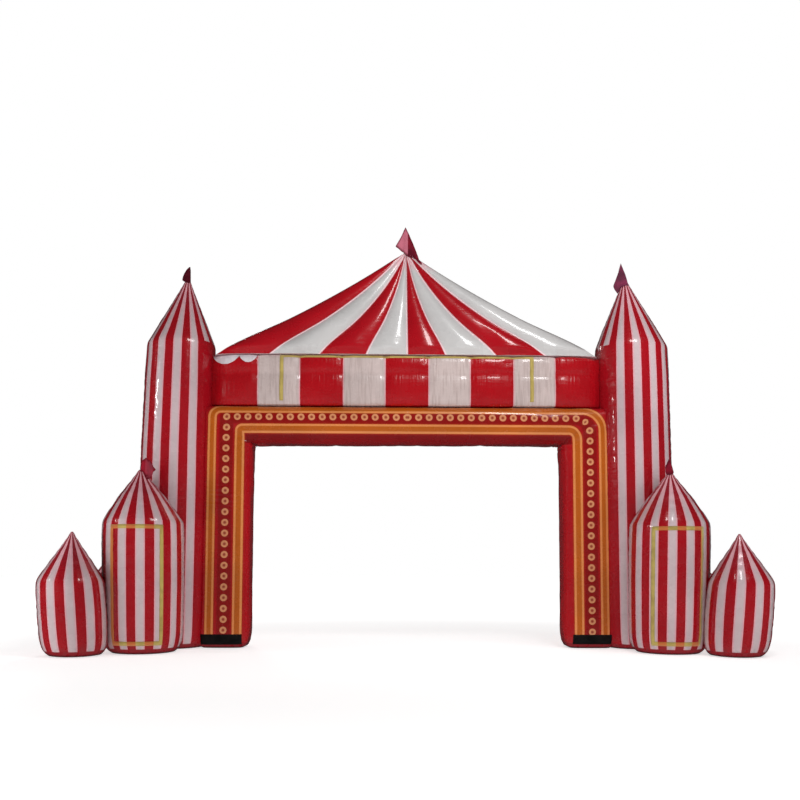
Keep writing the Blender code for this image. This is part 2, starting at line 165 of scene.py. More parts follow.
class ShaderBench:
    """Adds nodes to a material and joins them up."""

    def __init__(self, name: str) -> None:
        """Starts a material that holds one Principled shader."""
        self.material = bpy.data.materials.new(name)
        self.material.use_nodes = True
        self.tree = self.material.node_tree
        self.shader = self.tree.nodes["Principled BSDF"]

    def add(self, kind: str, inputs: dict, output: int | str = 0, **settings: object) -> Value:
        """Adds a node.

        Args:
            kind: The node's type.
            inputs: What goes into its sockets.
            output: The socket that gives its result.
            settings: Properties to set on it.

        Returns:
            Its result.
        """
        node = self.tree.nodes.new("ShaderNode" + kind)
        for name, setting in settings.items():
            setattr(node, name, setting)
        for name, value in inputs.items():
            self.feed(node.inputs[name], value)
        return Value(self, node.outputs[output])

    def feed(self, socket: bpy.types.NodeSocket, value: object) -> None:
        """Sets a socket to a number or a colour, or joins it to what works it out."""
        if isinstance(value, Value):
            self.tree.links.new(value.socket, socket)
        elif isinstance(value, tuple) and socket.type == "RGBA":
            socket.default_value = (*value, 1.0)
        else:
            socket.default_value = value

    def sum(self, operation: str, a: object, b: object = 0.0, c: object = 0.0) -> Value:
        """The result of one sum with up to three numbers."""
        return self.add("Math", {0: a, 1: b, 2: c}, operation=operation)

    def line(self, value: object, slope: object, start: object) -> Value:
        """A value times a slope, and a start added."""
        return self.sum("MULTIPLY_ADD", value, slope, start)

    def fade(self, value: object, start: float, end: float) -> Value:
        """A smooth share that is 1 at or before start and 0 from end on."""
        limits = {"Value": value, "From Min": start, "From Max": end, "To Min": 1.0, "To Max": 0.0}
        return self.add("MapRange", limits, "Result", interpolation_type="SMOOTHSTEP")

    def blend(self, share: object, low: object, high: object, how: str = "MIX") -> Value:
        """A colour between two, or one laid on the other."""
        return self.add("Mix", {"Factor": share, 6: low, 7: high}, 2, data_type="RGBA", blend_type=how)

    def parts(self, vector: Value) -> tuple[Value, ...]:
        """The three numbers of a vector."""
        split = self.add("SeparateXYZ", {0: vector}).socket.node
        return tuple(Value(self, output) for output in split.outputs)

    def map(self, name: str) -> tuple[Value, ...]:
        """The two numbers of one of the piece's own maps."""
        return self.parts(self.add("UVMap", {}, uv_map=name))[:2]

    def place(self) -> Value:
        """The point on the object, in metres."""
        return self.add("TexCoord", {}, "Object")

    def vector(self, x: object, y: object, z: object) -> Value:
        """A vector of three numbers."""
        return self.add("CombineXYZ", {0: x, 1: y, 2: z})

    def clouds(self, where: Value, scale: float, detail: float = 2.0) -> Value:
        """Smooth noise about 0.5."""
        return self.add("TexNoise", {"Vector": where, "Scale": scale, "Detail": detail}, "Fac")

    def drawn_clouds(self, where: Value, scales: Point, detail: float) -> Value:
        """Smooth noise with a scale of its own along each axis."""
        return self.clouds(self.add("VectorMath", {0: where, 1: scales}, operation="MULTIPLY"), 1.0, detail)

    def radius(self, x: Value, y: Value) -> Value:
        """How far two offsets lie from nothing."""
        return self.sum("SQRT", x**2.0 + y**2.0)

    def stitches(
        self, away: Value, along: Value, per_metre: float, dash: float, thread: tuple[float, float]
    ) -> Value:
        """1 on the dashes of a row of stitches, and 0 elsewhere.

        Args:
            away: Metres from the middle of the row.
            along: Metres along it.
            per_metre: Stitches to a metre.
            dash: The share of each stitch that shows.
            thread: Metres from the middle where the thread starts to fade and ends.

        Returns:
            The share.
        """
        shown = self.sum("FRACT", along * per_metre) < dash
        return self.fade(away, *thread) * shown

    def finish(
        self, colour: object, roughness: Value, height: Value, gloss: dict[str, float]
    ) -> bpy.types.Material:
        """Feeds the shader.

        Args:
            colour: The cloth's colour.
            roughness: How dull it is.
            height: The surface's height in metres.
            gloss: The shader's other settings.

        Returns:
            The material.
        """
        bump = self.add("Bump", {"Strength": 1.0, "Distance": 1.0, "Height": height})
        self.set({"Base Color": colour, "Roughness": roughness, "Normal": bump} | gloss)
        return self.material

    def set(self, looks: dict[str, object]) -> None:
        """Feeds the shader's own sockets."""
        for name, value in looks.items():
            self.feed(self.shader.inputs[name], value)


@dataclass(frozen=True)
class CoatedCloth:
    """Glossy coated cloth, with welded seams, small puckers and a dark base."""

    name: str
    layout: Layout
    red: Colour = from_screen(174, 12, 27)
    white: Colour = from_screen(214, 192, 195)
    pink_white: Colour = from_screen(250, 170, 182)  # pinker white beside a seam: partly red showing through the thin vinyl, partly painted red bounce light
    pink_reach: float = 0.026  # metres from a seam that it reaches
    pink_share: float = 0.75
    muted: Colour = from_screen(112, 48, 64)  # the red at the tip of a cone
    blush: float = 0.0  # metres from the tip that it reaches on a cone, and full within a quarter of that
    blush_share: float = 0.8
    mute_share: float = 0.5
    gold: Colour = from_screen(198, 98, 22)
    gold_edge: Colour = from_screen(238, 148, 84)
    gold_glow: Colour = from_screen(176, 44, 14)
    lamp: Colour = from_screen(230, 156, 108)
    lamp_core: Colour = from_screen(158, 50, 34)
    lamp_ground: Colour = from_screen(146, 14, 10)
    lintel_edge_shade: Colour = from_screen(118, 6, 8)  # painted shade on the strip between the lintel's lines and its underside
    faded: Colour = (0.88, 0.88, 0.88)  # what worn patches are multiplied by
    grime: Colour = from_screen(74, 40, 40)
    foot: Colour = from_screen(150, 12, 26)
    foot_top: tuple[float, float] = (0.056, 0.066)  # heights where it starts to end and ends
    # The base panel's dark red, partly painted shade where the cloth turns under the foot
    underside: Colour = from_screen(88, 8, 18)
    underside_top: tuple[float, float] = (0.006, 0.036)
    outline: Colour = from_screen(82, 24, 34)  # painted shade at grazing angles, standing in for the reflection of a dark ceiling
    rim_shade_share: float = 0.72
    gloss: float = 0.27  # roughness where the cloth is clean
    seam: Colour = from_screen(60, 8, 16)
    seam_shade: float = 0.06
    seam_half: float = 0.004
    ridge: tuple[float, float, float] = (0.008, 0.009, 0.0004)  # off the seam, half width and height
    thread: Colour = (0.05, 0.01, 0.012)
    thread_off: float = 0.013  # metres from the seam
    thread_sunk: float = 0.0004
    pucker: float = 0.0016  # metres, as are the next four
    crease: float = 0.0045
    crinkle: float = 0.0022
    crumple: float = 0.011
    gather: float = 0.0
    weave: float = 0.00003
    fold: Colour = from_screen(164, 140, 134)  # painted shade on white cloth in the hollow of a gather
    gather_shade_share: float = 0.30
    crumples: tuple[tuple[float, float, float, float], ...] = ()  # x, y, z and reach of crumpled spots

    def build(self) -> bpy.types.Material:
        """The finished material."""
        bench = ShaderBench(self.name)
        where = bench.place()
        panel, along = bench.map(PANEL_MAP)
        from_seam, odd = bench.map(SEAM_MAP)
        gathers = bench.drawn_clouds(where, (46.0, 2.0, 3.2), 2.0) if self.gather else None
        if self.layout is Layout.PANELS:
            colour = self.panelled(bench, panel, along, from_seam, gathers)
        else:
            colour = self.printed(bench)
        worn = bench.fade(bench.clouds(where, 1.7, 3.0), 0.35, 0.65)
        colour = bench.blend(worn, colour, self.faded, "MULTIPLY")
        line = bench.fade(from_seam, self.seam_half * 0.5, self.seam_half * 1.6)
        colour = bench.blend(line * self.seam_shade, colour, self.seam)
        stitch = bench.stitches(abs(from_seam - self.thread_off), along, 125.0, 0.62, (0.0006, 0.0014))
        colour = bench.blend(stitch * 0.30, colour, self.thread)
        height = bench.parts(where)[2]
        speckle = bench.fade(bench.clouds(where, 26.0, 4.0), 0.42, 0.62)
        grime = bench.fade(height, 0.02, 0.16) * speckle
        colour = bench.blend(grime * 0.22, colour, self.grime)
        colour = bench.blend(bench.fade(height, *self.foot_top), colour, self.foot)
        # Partly painted shade: darkest where the cloth turns under at the very bottom
        colour = bench.blend(bench.fade(height, *self.underside_top), colour, self.underside)
        # Painted shade: darker where the cloth turns away from the view, as a dark ceiling's reflection would
        # make it
        grazing = bench.add("LayerWeight", {"Blend": 0.5}, "Facing") ** 4.0
        colour = bench.blend(grazing * self.rim_shade_share, colour, self.outline)
        rough = bench.line(grime, 0.25, bench.line(bench.clouds(where, 6.0, 3.0), 0.16, self.gloss - 0.08))
        level = self.surface(bench, where, panel, along, from_seam, odd)
        for part, size in ((stitch, -self.thread_sunk), (gathers, self.gather)):
            level = level if part is None else bench.line(part, size, level)
        coating = {"Specular IOR Level": 0.5, "Coat Weight": 0.60, "Coat Roughness": 0.045}
        return bench.finish(colour, rough, level, coating)

    def panelled(
        self, bench: ShaderBench, panel: Value, along: Value, from_seam: Value, gathers: Value | None
    ) -> Value:
        """The colour of red and white panels.

        Args:
            bench: Where the nodes go.
            panel: The panel's number and the share across it.
            along: Metres from the tip or the base.
            from_seam: Metres from the nearest seam.
            gathers: Noise drawn out into upright gathers, if there are any.

        Returns:
            The colour.
        """
        white = bench.sum("FLOOR", panel) % 2.0 < 0.5
        # White cloth turns pinker beside a seam: partly red showing through, partly painted red bounce light
        tinged = bench.fade(from_seam, 0.0, self.pink_reach) * self.pink_share
        red: object = self.red
        if self.blush:
            tip = bench.fade(along, self.blush * 0.25, self.blush) * self.blush_share
            tinged = tinged.at_least(tip)
            red = bench.blend(tip * self.mute_share, self.red, self.muted)
        colour = bench.blend(white, red, bench.blend(tinged, self.white, self.pink_white))
        if gathers is None:
            return colour
        # Painted shade in the hollows of the gathers on white panels
        hollow = bench.fade(gathers, 0.36, 0.54) * white
        return bench.blend(hollow * self.gather_shade_share, colour, self.fold)

    def surface(
        self, bench: ShaderBench, where: Value, panel: Value, along: Value, from_seam: Value, odd: Value
    ) -> Value:
        """The height of the cloth's surface.

        Args:
            bench: Where the nodes go.
            where: The point on the object.
            panel: The panel's number and the share across it.
            along: Metres along the panel.
            from_seam: Metres from the nearest seam.
            odd: A number that differs from panel to panel.

        Returns:
            Metres out of the cloth: puckers, creases, crinkles, crumples, the seam's ridge and the weave.
        """
        puckers = bench.clouds(bench.vector(panel * 0.9, along * 17.0, odd), 1.0)
        creases = bench.clouds(bench.vector(panel, along * 2.2, odd), 1.4)
        crinkled = bench.fade(bench.clouds(where, 1.9, 1.0), 0.40, 0.30)
        crumpled = bench.sum("ADD", 0.0)
        for x, y, z, reach in self.crumples:
            away = bench.add("VectorMath", {0: where, 1: (x, y, z)}, "Value", operation="DISTANCE")
            lines = bench.drawn_clouds(where, (3.0, 3.0, 26.0), 1.0)
            crumpled = crumpled + lines * bench.fade(away, reach * 0.4, reach)
        middle, half, rise = self.ridge
        parts = (
            (puckers * bench.fade(from_seam, 0.0, 0.045), self.pucker),
            (creases, self.crease),
            (bench.drawn_clouds(where, (5.0, 5.0, 46.0), 1.0) * crinkled, self.crinkle),
            (bench.clouds(where, 520.0, 0.0), self.weave),
            (crumpled, self.crumple),
            (bench.fade(abs(from_seam - middle), 0.0, half), rise),
        )
        level: object = 0.0
        for part, size in parts:
            level = bench.line(part, size, level)
        return level

    def printed(self, bench: ShaderBench) -> Value:
        """The portal's print: two double gold lines and a row of lamp rings between them, and painted shade
        along the lintel's lower edge.
        """
        across, _, z = bench.parts(bench.place())
        _, facing, _ = bench.parts(bench.add("TexCoord", {}, "Normal"))
        front = abs(facing) > 0.40
        x, right = abs(across), across > 0.0

        def either(left_value: float, right_value: float) -> Value:
            """One number on the left half and another on the right half."""
            return bench.line(right, right_value - left_value, left_value)

        def from_line(line: PrintLine) -> tuple[Value, ...]:
            """(metres outwards from a line, the two offsets from the middle of its corner, its corner)."""
            corner = either(line.left_corner, line.right_corner)
            side = either(line.left_off + Portal.OPENING_HALF, line.right_off + Portal.OPENING_HALF)
            qx = x - side + corner
            qz = z - (line.top_off + Portal.OPENING_HEIGHT) + corner
            out = bench.radius(qx.at_least(0.0), qz.at_least(0.0))
            return out + qx.at_least(qz).at_most(0.0) - corner, qx, qz, corner

        off, qx, qz, corner = from_line(Portal.LAMPS)
        ground = bench.fade(abs(off), 0.066, 0.094) * front
        colour = bench.blend(ground * 0.85, self.red, self.lamp_ground)
        # Painted shade on the strip along the lintel's lower edge
        inner = bench.fade(from_line(Portal.LINES[0])[0], -0.075, -0.050) * (z > Portal.OPENING_HEIGHT)
        colour = bench.blend(inner * 0.8, colour, self.lintel_edge_shade)
        for line in Portal.LINES:
            away = abs(from_line(line)[0])
            band = bench.fade(away, line.half - 0.004, line.half + 0.004) * front
            glow = bench.fade(away, line.half, line.half + 0.03) * front
            colour = bench.blend(glow * 0.45, colour, self.gold_glow)
            colour = bench.blend(band, colour, self.gold)
            from_rim = abs(away - (line.half - line.rim / 2.0))
            edge = bench.fade(from_rim, line.rim * 0.32, line.rim * 0.66) * band
            colour = bench.blend(edge, colour, self.gold_edge)
        # How far along the row of lamps a point lies, counted from the corner's end on the leg
        turned = bench.sum("ARCTAN2", qz.at_least(0.0), qx.at_least(0.0))
        on_leg = qx > qz
        down = on_leg * (qz.at_most(0.0) - either(0.0, Portal.RIGHT_LAMPS_HIGHER))
        inward = bench.line(on_leg, -1.0, 1.0) * qx.at_most(0.0)
        run = bench.line(corner, turned, down - inward)
        pitch = either(*Portal.LAMP_PITCHES)
        step = (bench.sum("FRACT", run / pitch + 100.5) - 0.5) * pitch
        radius = bench.radius(step, off)
        shown = front * (z > Portal.LAMP_FLOOR)
        size = Portal.LAMP_RADIUS
        colour = bench.blend(bench.fade(radius, size - 0.006, size + 0.003) * shown, colour, self.lamp)
        core = bench.fade(radius, size * 0.22, size * 0.60) * shown
        return bench.blend(core * 0.9, colour, self.lamp_core)


@dataclass(frozen=True)
class PlainCloth:
    """Thin cloth with a woven surface, such as a flag, a tape or a patch."""

    name: str
    colour: Colour
    shade: Colour
    roughness: float
    threads: float  # threads to a metre
    thread_height: float
    edge_stitch: float  # metres in from the edge
    sheen: float = 0.0
    coat: float = 0.0
    second: Colour = BLACK  # where the piece's own map says so: red under a sheer tape, and painted light on a flag's lit flap
    shine: float = 0.5
    hem: float = 0.0  # metres in from the edge that are darker
    crumple: float = 0.0014

    def build(self) -> bpy.types.Material:
        """The finished material."""
        bench = ShaderBench(self.name)
        across, along = bench.map(PANEL_MAP)
        from_edge, other = bench.map(SEAM_MAP)
        where = bench.place()
        worn = bench.clouds(where, 9.0, 3.0)
        colour = bench.blend(bench.fade(worn, 0.3, 0.7), self.colour, self.shade)
        colour = bench.blend(other, colour, self.second)
        turn = 2.0 * math.pi * self.threads
        weave = bench.sum("SINE", across * turn) * bench.sum("SINE", along * turn)
        colour = bench.blend(bench.line(weave, 0.09, 0.09), colour, self.shade)
        if self.hem:
            colour = bench.blend(bench.fade(from_edge, self.hem * 0.3, self.hem) * 0.6, colour, self.shade)
        stitch = bench.stitches(abs(from_edge - self.edge_stitch), along, 90.0, 0.6, (0.0008, 0.0018))
        colour = bench.blend(stitch * 0.6, colour, self.shade)
        level = bench.line(stitch, -0.0006, weave * self.thread_height)
        level = bench.line(bench.clouds(where, 22.0), self.crumple, level)
        gloss = {"Specular IOR Level": self.shine, "Sheen Weight": self.sheen, "Coat Weight": self.coat}
        return bench.finish(colour, bench.line(worn, 0.12, self.roughness - 0.06), level, gloss)


# ---------------------------------------------------------------- shape helpers
def even_steps(line: Sequence[tuple[float, float]], step: float) -> list[tuple[float, float]]:
    """A line of straight runs, with points about one step apart.

    Args:
        line: Its corners.
        step: Metres between the new points.

    Returns:
        The new points, the corners' ends included.
    """
    points = np.array(line, float)
    runs = np.concatenate([[0.0], np.cumsum(np.linalg.norm(np.diff(points, axis=0), axis=1))])
    at = np.linspace(0.0, runs[-1], max(2, round(runs[-1] / step) + 1))
    return [(float(np.interp(d, runs, points[:, 0])), float(np.interp(d, runs, points[:, 1]))) for d in at]


def softened(line: Sequence[tuple[float, float]], passes: int) -> list[tuple[float, float]]:
    """A line with its corners rounded and its ends kept."""
    points = np.array(line, float)
    for _ in range(passes):
        points[1:-1] = points[1:-1] * 0.5 + (points[:-2] + points[2:]) * 0.25
    return [(float(a), float(b)) for a, b in points]


def smooth_step(share: float) -> float:
    """0 below 0, 1 above 1, and a smooth rise between."""
    share = min(1.0, max(0.0, share))
    return share * share * (3.0 - 2.0 * share)


def ripple(*place: float) -> float:
    """Smooth noise from -1 to 1 that is the same each time."""
    return noise.noise(Vector((*place, 0.0, 0.0, 0.0)[:3]))


def bell(offset: float, spread: float) -> float:
    """1 where the offset is 0, falling smoothly on both sides."""
    return math.exp(-((offset / spread) ** 2))


def running_length(line: Sequence[tuple[float, float]]) -> list[float]:
    """Metres along a line at each of its points."""
    runs = [0.0]
    for a, b in zip(line, line[1:]):
        runs.append(runs[-1] + math.dist(a, b))
    return runs


def inside_panel(share: float) -> float:
    """A share across a panel, kept just clear of its neighbours."""
    return min(0.9999, max(0.0001, share))


class Skin:
    """The numbers that a bmesh's points carry: panel, metres along, metres from the seam."""

    def __init__(self, bm: bmesh.types.BMesh) -> None:
        """Makes the layers before any point exists."""
        self.bm = bm
        self.row = bm.verts.layers.int.new("row")
        self.column = bm.verts.layers.int.new("column")

    def write_map(self, name: str, value: Callable[[int, int], tuple[float, float]]) -> None:
        """Fills one new map with two numbers for each point's row and column."""
        layer = self.bm.loops.layers.uv.new(name)
        for face in self.bm.faces:
            for loop in face.loops:
                loop[layer].uv = value(loop.vert[self.row], loop.vert[self.column])


def extruded_rings(
    rows: int, around: int, place: Callable[[int, int], Point]
) -> tuple[bmesh.types.BMesh, Skin]:
    """A closed tube: a ring of edges, extruded row by row and set in place.

    Args:
        rows: Number of rings.
        around: Points in each ring.
        place: Gives the point for a row and a column.

    Returns:
        The bmesh and its skin.
    """
    bm = bmesh.new()
    skin = Skin(bm)
    ring = bmesh.ops.create_circle(bm, segments=around, radius=1.0, cap_ends=False)["verts"]
    for column, vert in enumerate(ring):
        vert[skin.column] = column
        vert.co = place(0, column)
    edges = list(bm.edges)
    first = edges
    for row in range(1, rows):
        made = bmesh.ops.extrude_edge_only(bm, edges=edges)["geom"]
        new = [item for item in made if isinstance(item, bmesh.types.BMVert)]
        kept = set(new)
        for vert in new:
            vert[skin.row] = row
            vert.co = place(row, vert[skin.column])
        edges = [e for e in made if isinstance(e, bmesh.types.BMEdge) and kept.issuperset(e.verts)]
    for rim in (first, edges):
        bmesh.ops.edgeloop_fill(bm, edges=rim)
    bmesh.ops.recalc_face_normals(bm, faces=bm.faces)
    return bm, skin


def into_object(name: str, bm: bmesh.types.BMesh, sharp: float = 50.0) -> bpy.types.Object:
    """Turns a bmesh into an object of the scene.

    Args:
        name: The piece's name.
        bm: The bmesh, which is freed.
        sharp: Edges that turn by more than this many degrees stay crisp.

    Returns:
        The object.
    """
    mesh = bpy.data.meshes.new(name)
    bm.to_mesh(mesh)
    bm.free()
    mesh.shade_smooth()
    mesh.set_sharp_from_angle(angle=math.radians(sharp))
    obj = bpy.data.objects.new(name, mesh)
    bpy.context.scene.collection.objects.link(obj)
    return obj


def as_chamber(
    name: str,
    bm: bmesh.types.BMesh,
    on_seam: Callable[[bmesh.types.BMVert], bool],
    still: Callable[[Vector], bool],
) -> Chamber:
    """Turns a bmesh into cloth that is ready for the air.

    Args:
        name: The chamber's name.
        bm: The bmesh, which is freed.
        on_seam: Whether a point lies on a seam.
        still: Whether the air can't move the point at a place.

    Returns:
        The object and its still points.
    """
    weights = bm.verts.layers.deform.verify()
    for vert in bm.verts:
        vert[weights][0] = 1.0 if on_seam(vert) else 0.0
    bm.verts.index_update()
    held = [v.index for v in bm.verts if still(v.co)]
    obj = into_object("cloth_" + name, bm)
    obj.vertex_groups.new(name="seam")
    return obj, held


def applied(obj: bpy.types.Object) -> None:
    """Replaces an object's mesh by what its modifiers make of it."""
    graph = bpy.context.evaluated_depsgraph_get()
    shaped = obj.evaluated_get(graph)
    mesh = bpy.data.meshes.new_from_object(shaped, preserve_all_data_layers=True, depsgraph=graph)
    obj.modifiers.clear()
    old, obj.data = obj.data, mesh
    bpy.data.meshes.remove(old)
    mesh.name = obj.name


def coordinates(mesh: bpy.types.Mesh) -> np.ndarray:
    """A mesh's points as an array of three columns."""
    flat = np.empty(len(mesh.vertices) * 3, np.float32)
    mesh.vertices.foreach_get("co", flat)
    return flat.reshape(-1, 3).astype(float)


def tree_of(obj: bpy.types.Object) -> BVHTree:
    """A search tree over an object's faces, for rays."""
    return BVHTree.FromPolygons(
        [v.co.copy() for v in obj.data.vertices], [tuple(p.vertices) for p in obj.data.polygons]
    )


def front_of(surface: BVHTree, x: float, z: float, within: float = ANYWHERE) -> Vector | None:
    """The point that a level ray from the viewer's side meets first, if it meets one."""
    spot, _, _, _ = surface.ray_cast(Vector((x, VIEWER_SIDE, z)), -Vector(TO_VIEWER), within)
    return spot


# ---------------------------------------------------------------- air pressure
@dataclass(frozen=True)
class AirPressure:
    """Puffs the chambers up as cloth, with their seams drawn a little tighter than their panels."""

    frames: int = 12
    pressure: float = 2.2
    tension: float = 60.0
    bending: float = 1.2
    seam_shrink: float = 0.012
    travel: float = 0.008  # the furthest that a point may move, in metres

    def stiffen(self, obj: bpy.types.Object, held: Iterable[int]) -> None:
        """Gives an object its Cloth modifier.

        Args:
            obj: The chamber.
            held: Points that stay where they are.
        """
        held_group = obj.vertex_groups.new(name="held")
        held_group.add(list(held), 1.0, "REPLACE")
        cloth = obj.modifiers.new("air", "CLOTH")
        settings = cloth.settings
        settings.quality = 5
        settings.mass = 0.4
        settings.tension_stiffness = settings.compression_stiffness = self.tension
        settings.shear_stiffness = self.tension * 0.4
        settings.bending_stiffness = self.bending
        settings.tension_damping = settings.compression_damping = 18.0
        settings.air_damping = 6.0
        settings.use_pressure = True
        settings.uniform_pressure_force = self.pressure
        settings.vertex_group_mass = held_group.name
        settings.vertex_group_shrink = "seam"
        settings.shrink_max = self.seam_shrink
        settings.effector_weights.gravity = 0.0
        cloth.collision_settings.use_collision = False
        cloth.collision_settings.use_self_collision = False
        cloth.point_cache.frame_start = 1
        cloth.point_cache.frame_end = self.frames

    def run(self, chambers: dict[bpy.types.Object, list[int]]) -> None:
        """Simulates all the chambers side by side and keeps the result in their meshes.

        Args:
            chambers: Each object with its held points.
        """
        before = {obj: coordinates(obj.data) for obj in chambers}
        for obj, held in chambers.items():
            self.stiffen(obj, held)
        scene = bpy.context.scene
        for number in range(1, self.frames + 1):
            scene.frame_set(number)
        graph = bpy.context.evaluated_depsgraph_get()
        for obj in chambers:
            after = coordinates(obj.evaluated_get(graph).data)
            obj.modifiers.clear()
            moved = after - before[obj]
            far = np.linalg.norm(moved, axis=1, keepdims=True)
            moved *= np.tanh(far / self.travel) * self.travel / np.maximum(far, 1e-9)
            points = (before[obj] + moved).astype(np.float32)
            obj.data.vertices.foreach_set("co", points.ravel())
            obj.data.update()
            most, usual = far.max() * 1e3, np.median(far) * 1e3
            LOG.info("%s: moved %.1f mm at most, %.1f mm usually", obj.name, most, usual)
        scene.frame_set(1)


# ---------------------------------------------------------------- towers
@dataclass(frozen=True)
class TowerPattern:
    """A size of round tower: upright panels that meet in a point above the eave."""

    name: str
    radius: float
    eave_radius: float
    foot_radius: float
    eave: float
    apex: float
    panels: int
    tip: float = 0.020
    bow: float = 0.006  # how far the middle of the cone stands out
    foot_draw_in: float = 0.03
    columns: int = 4  # to a panel
    row_step: float = 0.036
    puff: float = 0.0035  # how far a panel stands proud of its seams
    pucker: float = 0.0012

    SEAM_REACH = 0.42  # share of a panel where the puckers beside its seam end
    EAVE_FOLDS = (2.2, 0.07)  # how much stronger the puckers are at the eave, and how far from it
    FOOT_FOLDS = (1.5, 0.10, 0.08)  # the same above the base, with their height between
    SLOW_WAVE = 0.0025
    GROUND_HELD = 0.012  # below this height the air can't move the cloth, nor this close to the apex:
    TIP_HELD = 0.05

    def outline(self) -> list[tuple[float, float]]:
        """(radius, height) from the tip down to the middle of the base."""
        draw, foot = self.foot_draw_in, self.foot_radius
        slope = self.apex - self.eave
        corners = [
            (self.tip, self.apex),
            (self.tip + (self.eave_radius - self.tip) * 0.5 + self.bow, self.eave + slope * 0.5 + 0.004),
            (self.eave_radius, self.eave),
            (self.radius, self.eave * 0.55),
            (foot, 0.19),
            (foot - draw * 0.45, 0.09),
            (foot - draw * 1.35, 0.030),
            (foot - draw * 2.6, 0.004),
            (foot - draw * 3.4, 0.0),
            (foot * 0.45, 0.0),
        ]
        line = softened(even_steps(corners, self.row_step / 3.0), 7)
        line = [(r, max(0.0, z)) for r, z in line]
        return even_steps(line, self.row_step)

    def cloth(self) -> Chamber:
        """The tower's cloth round its own axis, with a white panel straight ahead."""
        line = self.outline()
        runs = running_length(line)
        around = self.panels * self.columns
        bm = bmesh.new()
        row = bm.verts.layers.int.new("row")
        points = []
        for number, (r, z) in enumerate(line):
            vert = bm.verts.new((0.0, -r, z))
            vert[row] = number
            points.append(vert)
        edges = [bm.edges.new(pair) for pair in zip(points, points[1:])]
        bmesh.ops.spin(
            bm,
            geom=points + edges,
            cent=(0.0, 0.0, 0.0),
            axis=(0.0, 0.0, 1.0),
            angle=2.0 * math.pi,
            steps=around,
            use_merge=True,
        )
        bmesh.ops.remove_doubles(bm, verts=bm.verts, dist=1e-5)
        rims = [e for e in bm.edges if e.is_boundary]
        for end in (0, len(line) - 1):
            bmesh.ops.edgeloop_fill(bm, edges=[e for e in rims if e.verts[0][row] == end == e.verts[1][row]])
        bmesh.ops.recalc_face_normals(bm, faces=bm.faces)

        def turn_of(co: Vector) -> float:
            """Compass turn in panels, with 0 on the seam before the panel straight ahead."""
            return (math.atan2(co.x, -co.y) / (2.0 * math.pi) * self.panels + 0.5) % self.panels

        panel_map = bm.loops.layers.uv.new(PANEL_MAP)
        seam_map = bm.loops.layers.uv.new(SEAM_MAP)
        for face in bm.faces:
            middle = turn_of(face.calc_center_median())
            for loop in face.loops:
                turn = turn_of(loop.vert.co)
                turn += self.panels * round((middle - turn) / self.panels)
                number = math.floor(middle)
                width = 2.0 * math.pi * line[loop.vert[row]][0] / self.panels
                share = inside_panel(turn - number)
                loop[panel_map].uv = (100.0 + number + share, runs[loop.vert[row]])
                loop[seam_map].uv = (min(share, 1.0 - share) * width, (number * 7.31) % 5.0)
        for vert in bm.verts:
            self.pinch(vert, turn_of(vert.co), runs[vert[row]])
        return as_chamber(
            self.name,
            bm,
            lambda vert: abs(turn_of(vert.co) - round(turn_of(vert.co))) < 0.01,
            lambda co: co.z < self.GROUND_HELD or co.z > self.apex - self.TIP_HELD,
        )

    def pinch(self, vert: bmesh.types.BMVert, turn: float, run: float) -> None:
        """Puffs a point out between its seams and puckers the cloth beside them."""
        share = turn - math.floor(turn)
        flat = Vector((vert.co.x, vert.co.y, 0.0))
        reach = flat.length
        if reach < 1e-6 or vert.co.z < 0.004:
            return
        full = min(1.0, reach / self.eave_radius)
        puff = self.puff * full * (1.0 - (2.0 * share - 1.0) ** 2)
        near_seam = 1.0 - smooth_step(min(share, 1.0 - share) / self.SEAM_REACH)
        at_eave, eave_spread = self.EAVE_FOLDS
        at_foot, foot_height, foot_spread = self.FOOT_FOLDS
        folds = at_eave * bell(vert.co.z - self.eave, eave_spread)
        folds += at_foot * bell(vert.co.z - foot_height, foot_spread)
        strong = self.pucker * (1.0 + folds)
        wave = ripple(math.floor(turn + 0.5) * 3.7, run * 13.0) + 0.5 * ripple(turn * 1.3, run * 27.0)
        slow = self.SLOW_WAVE * ripple(turn * 0.35, run * 1.6)
        vert.co += flat / reach * (puff + (strong * wave * near_seam + slow) * full)


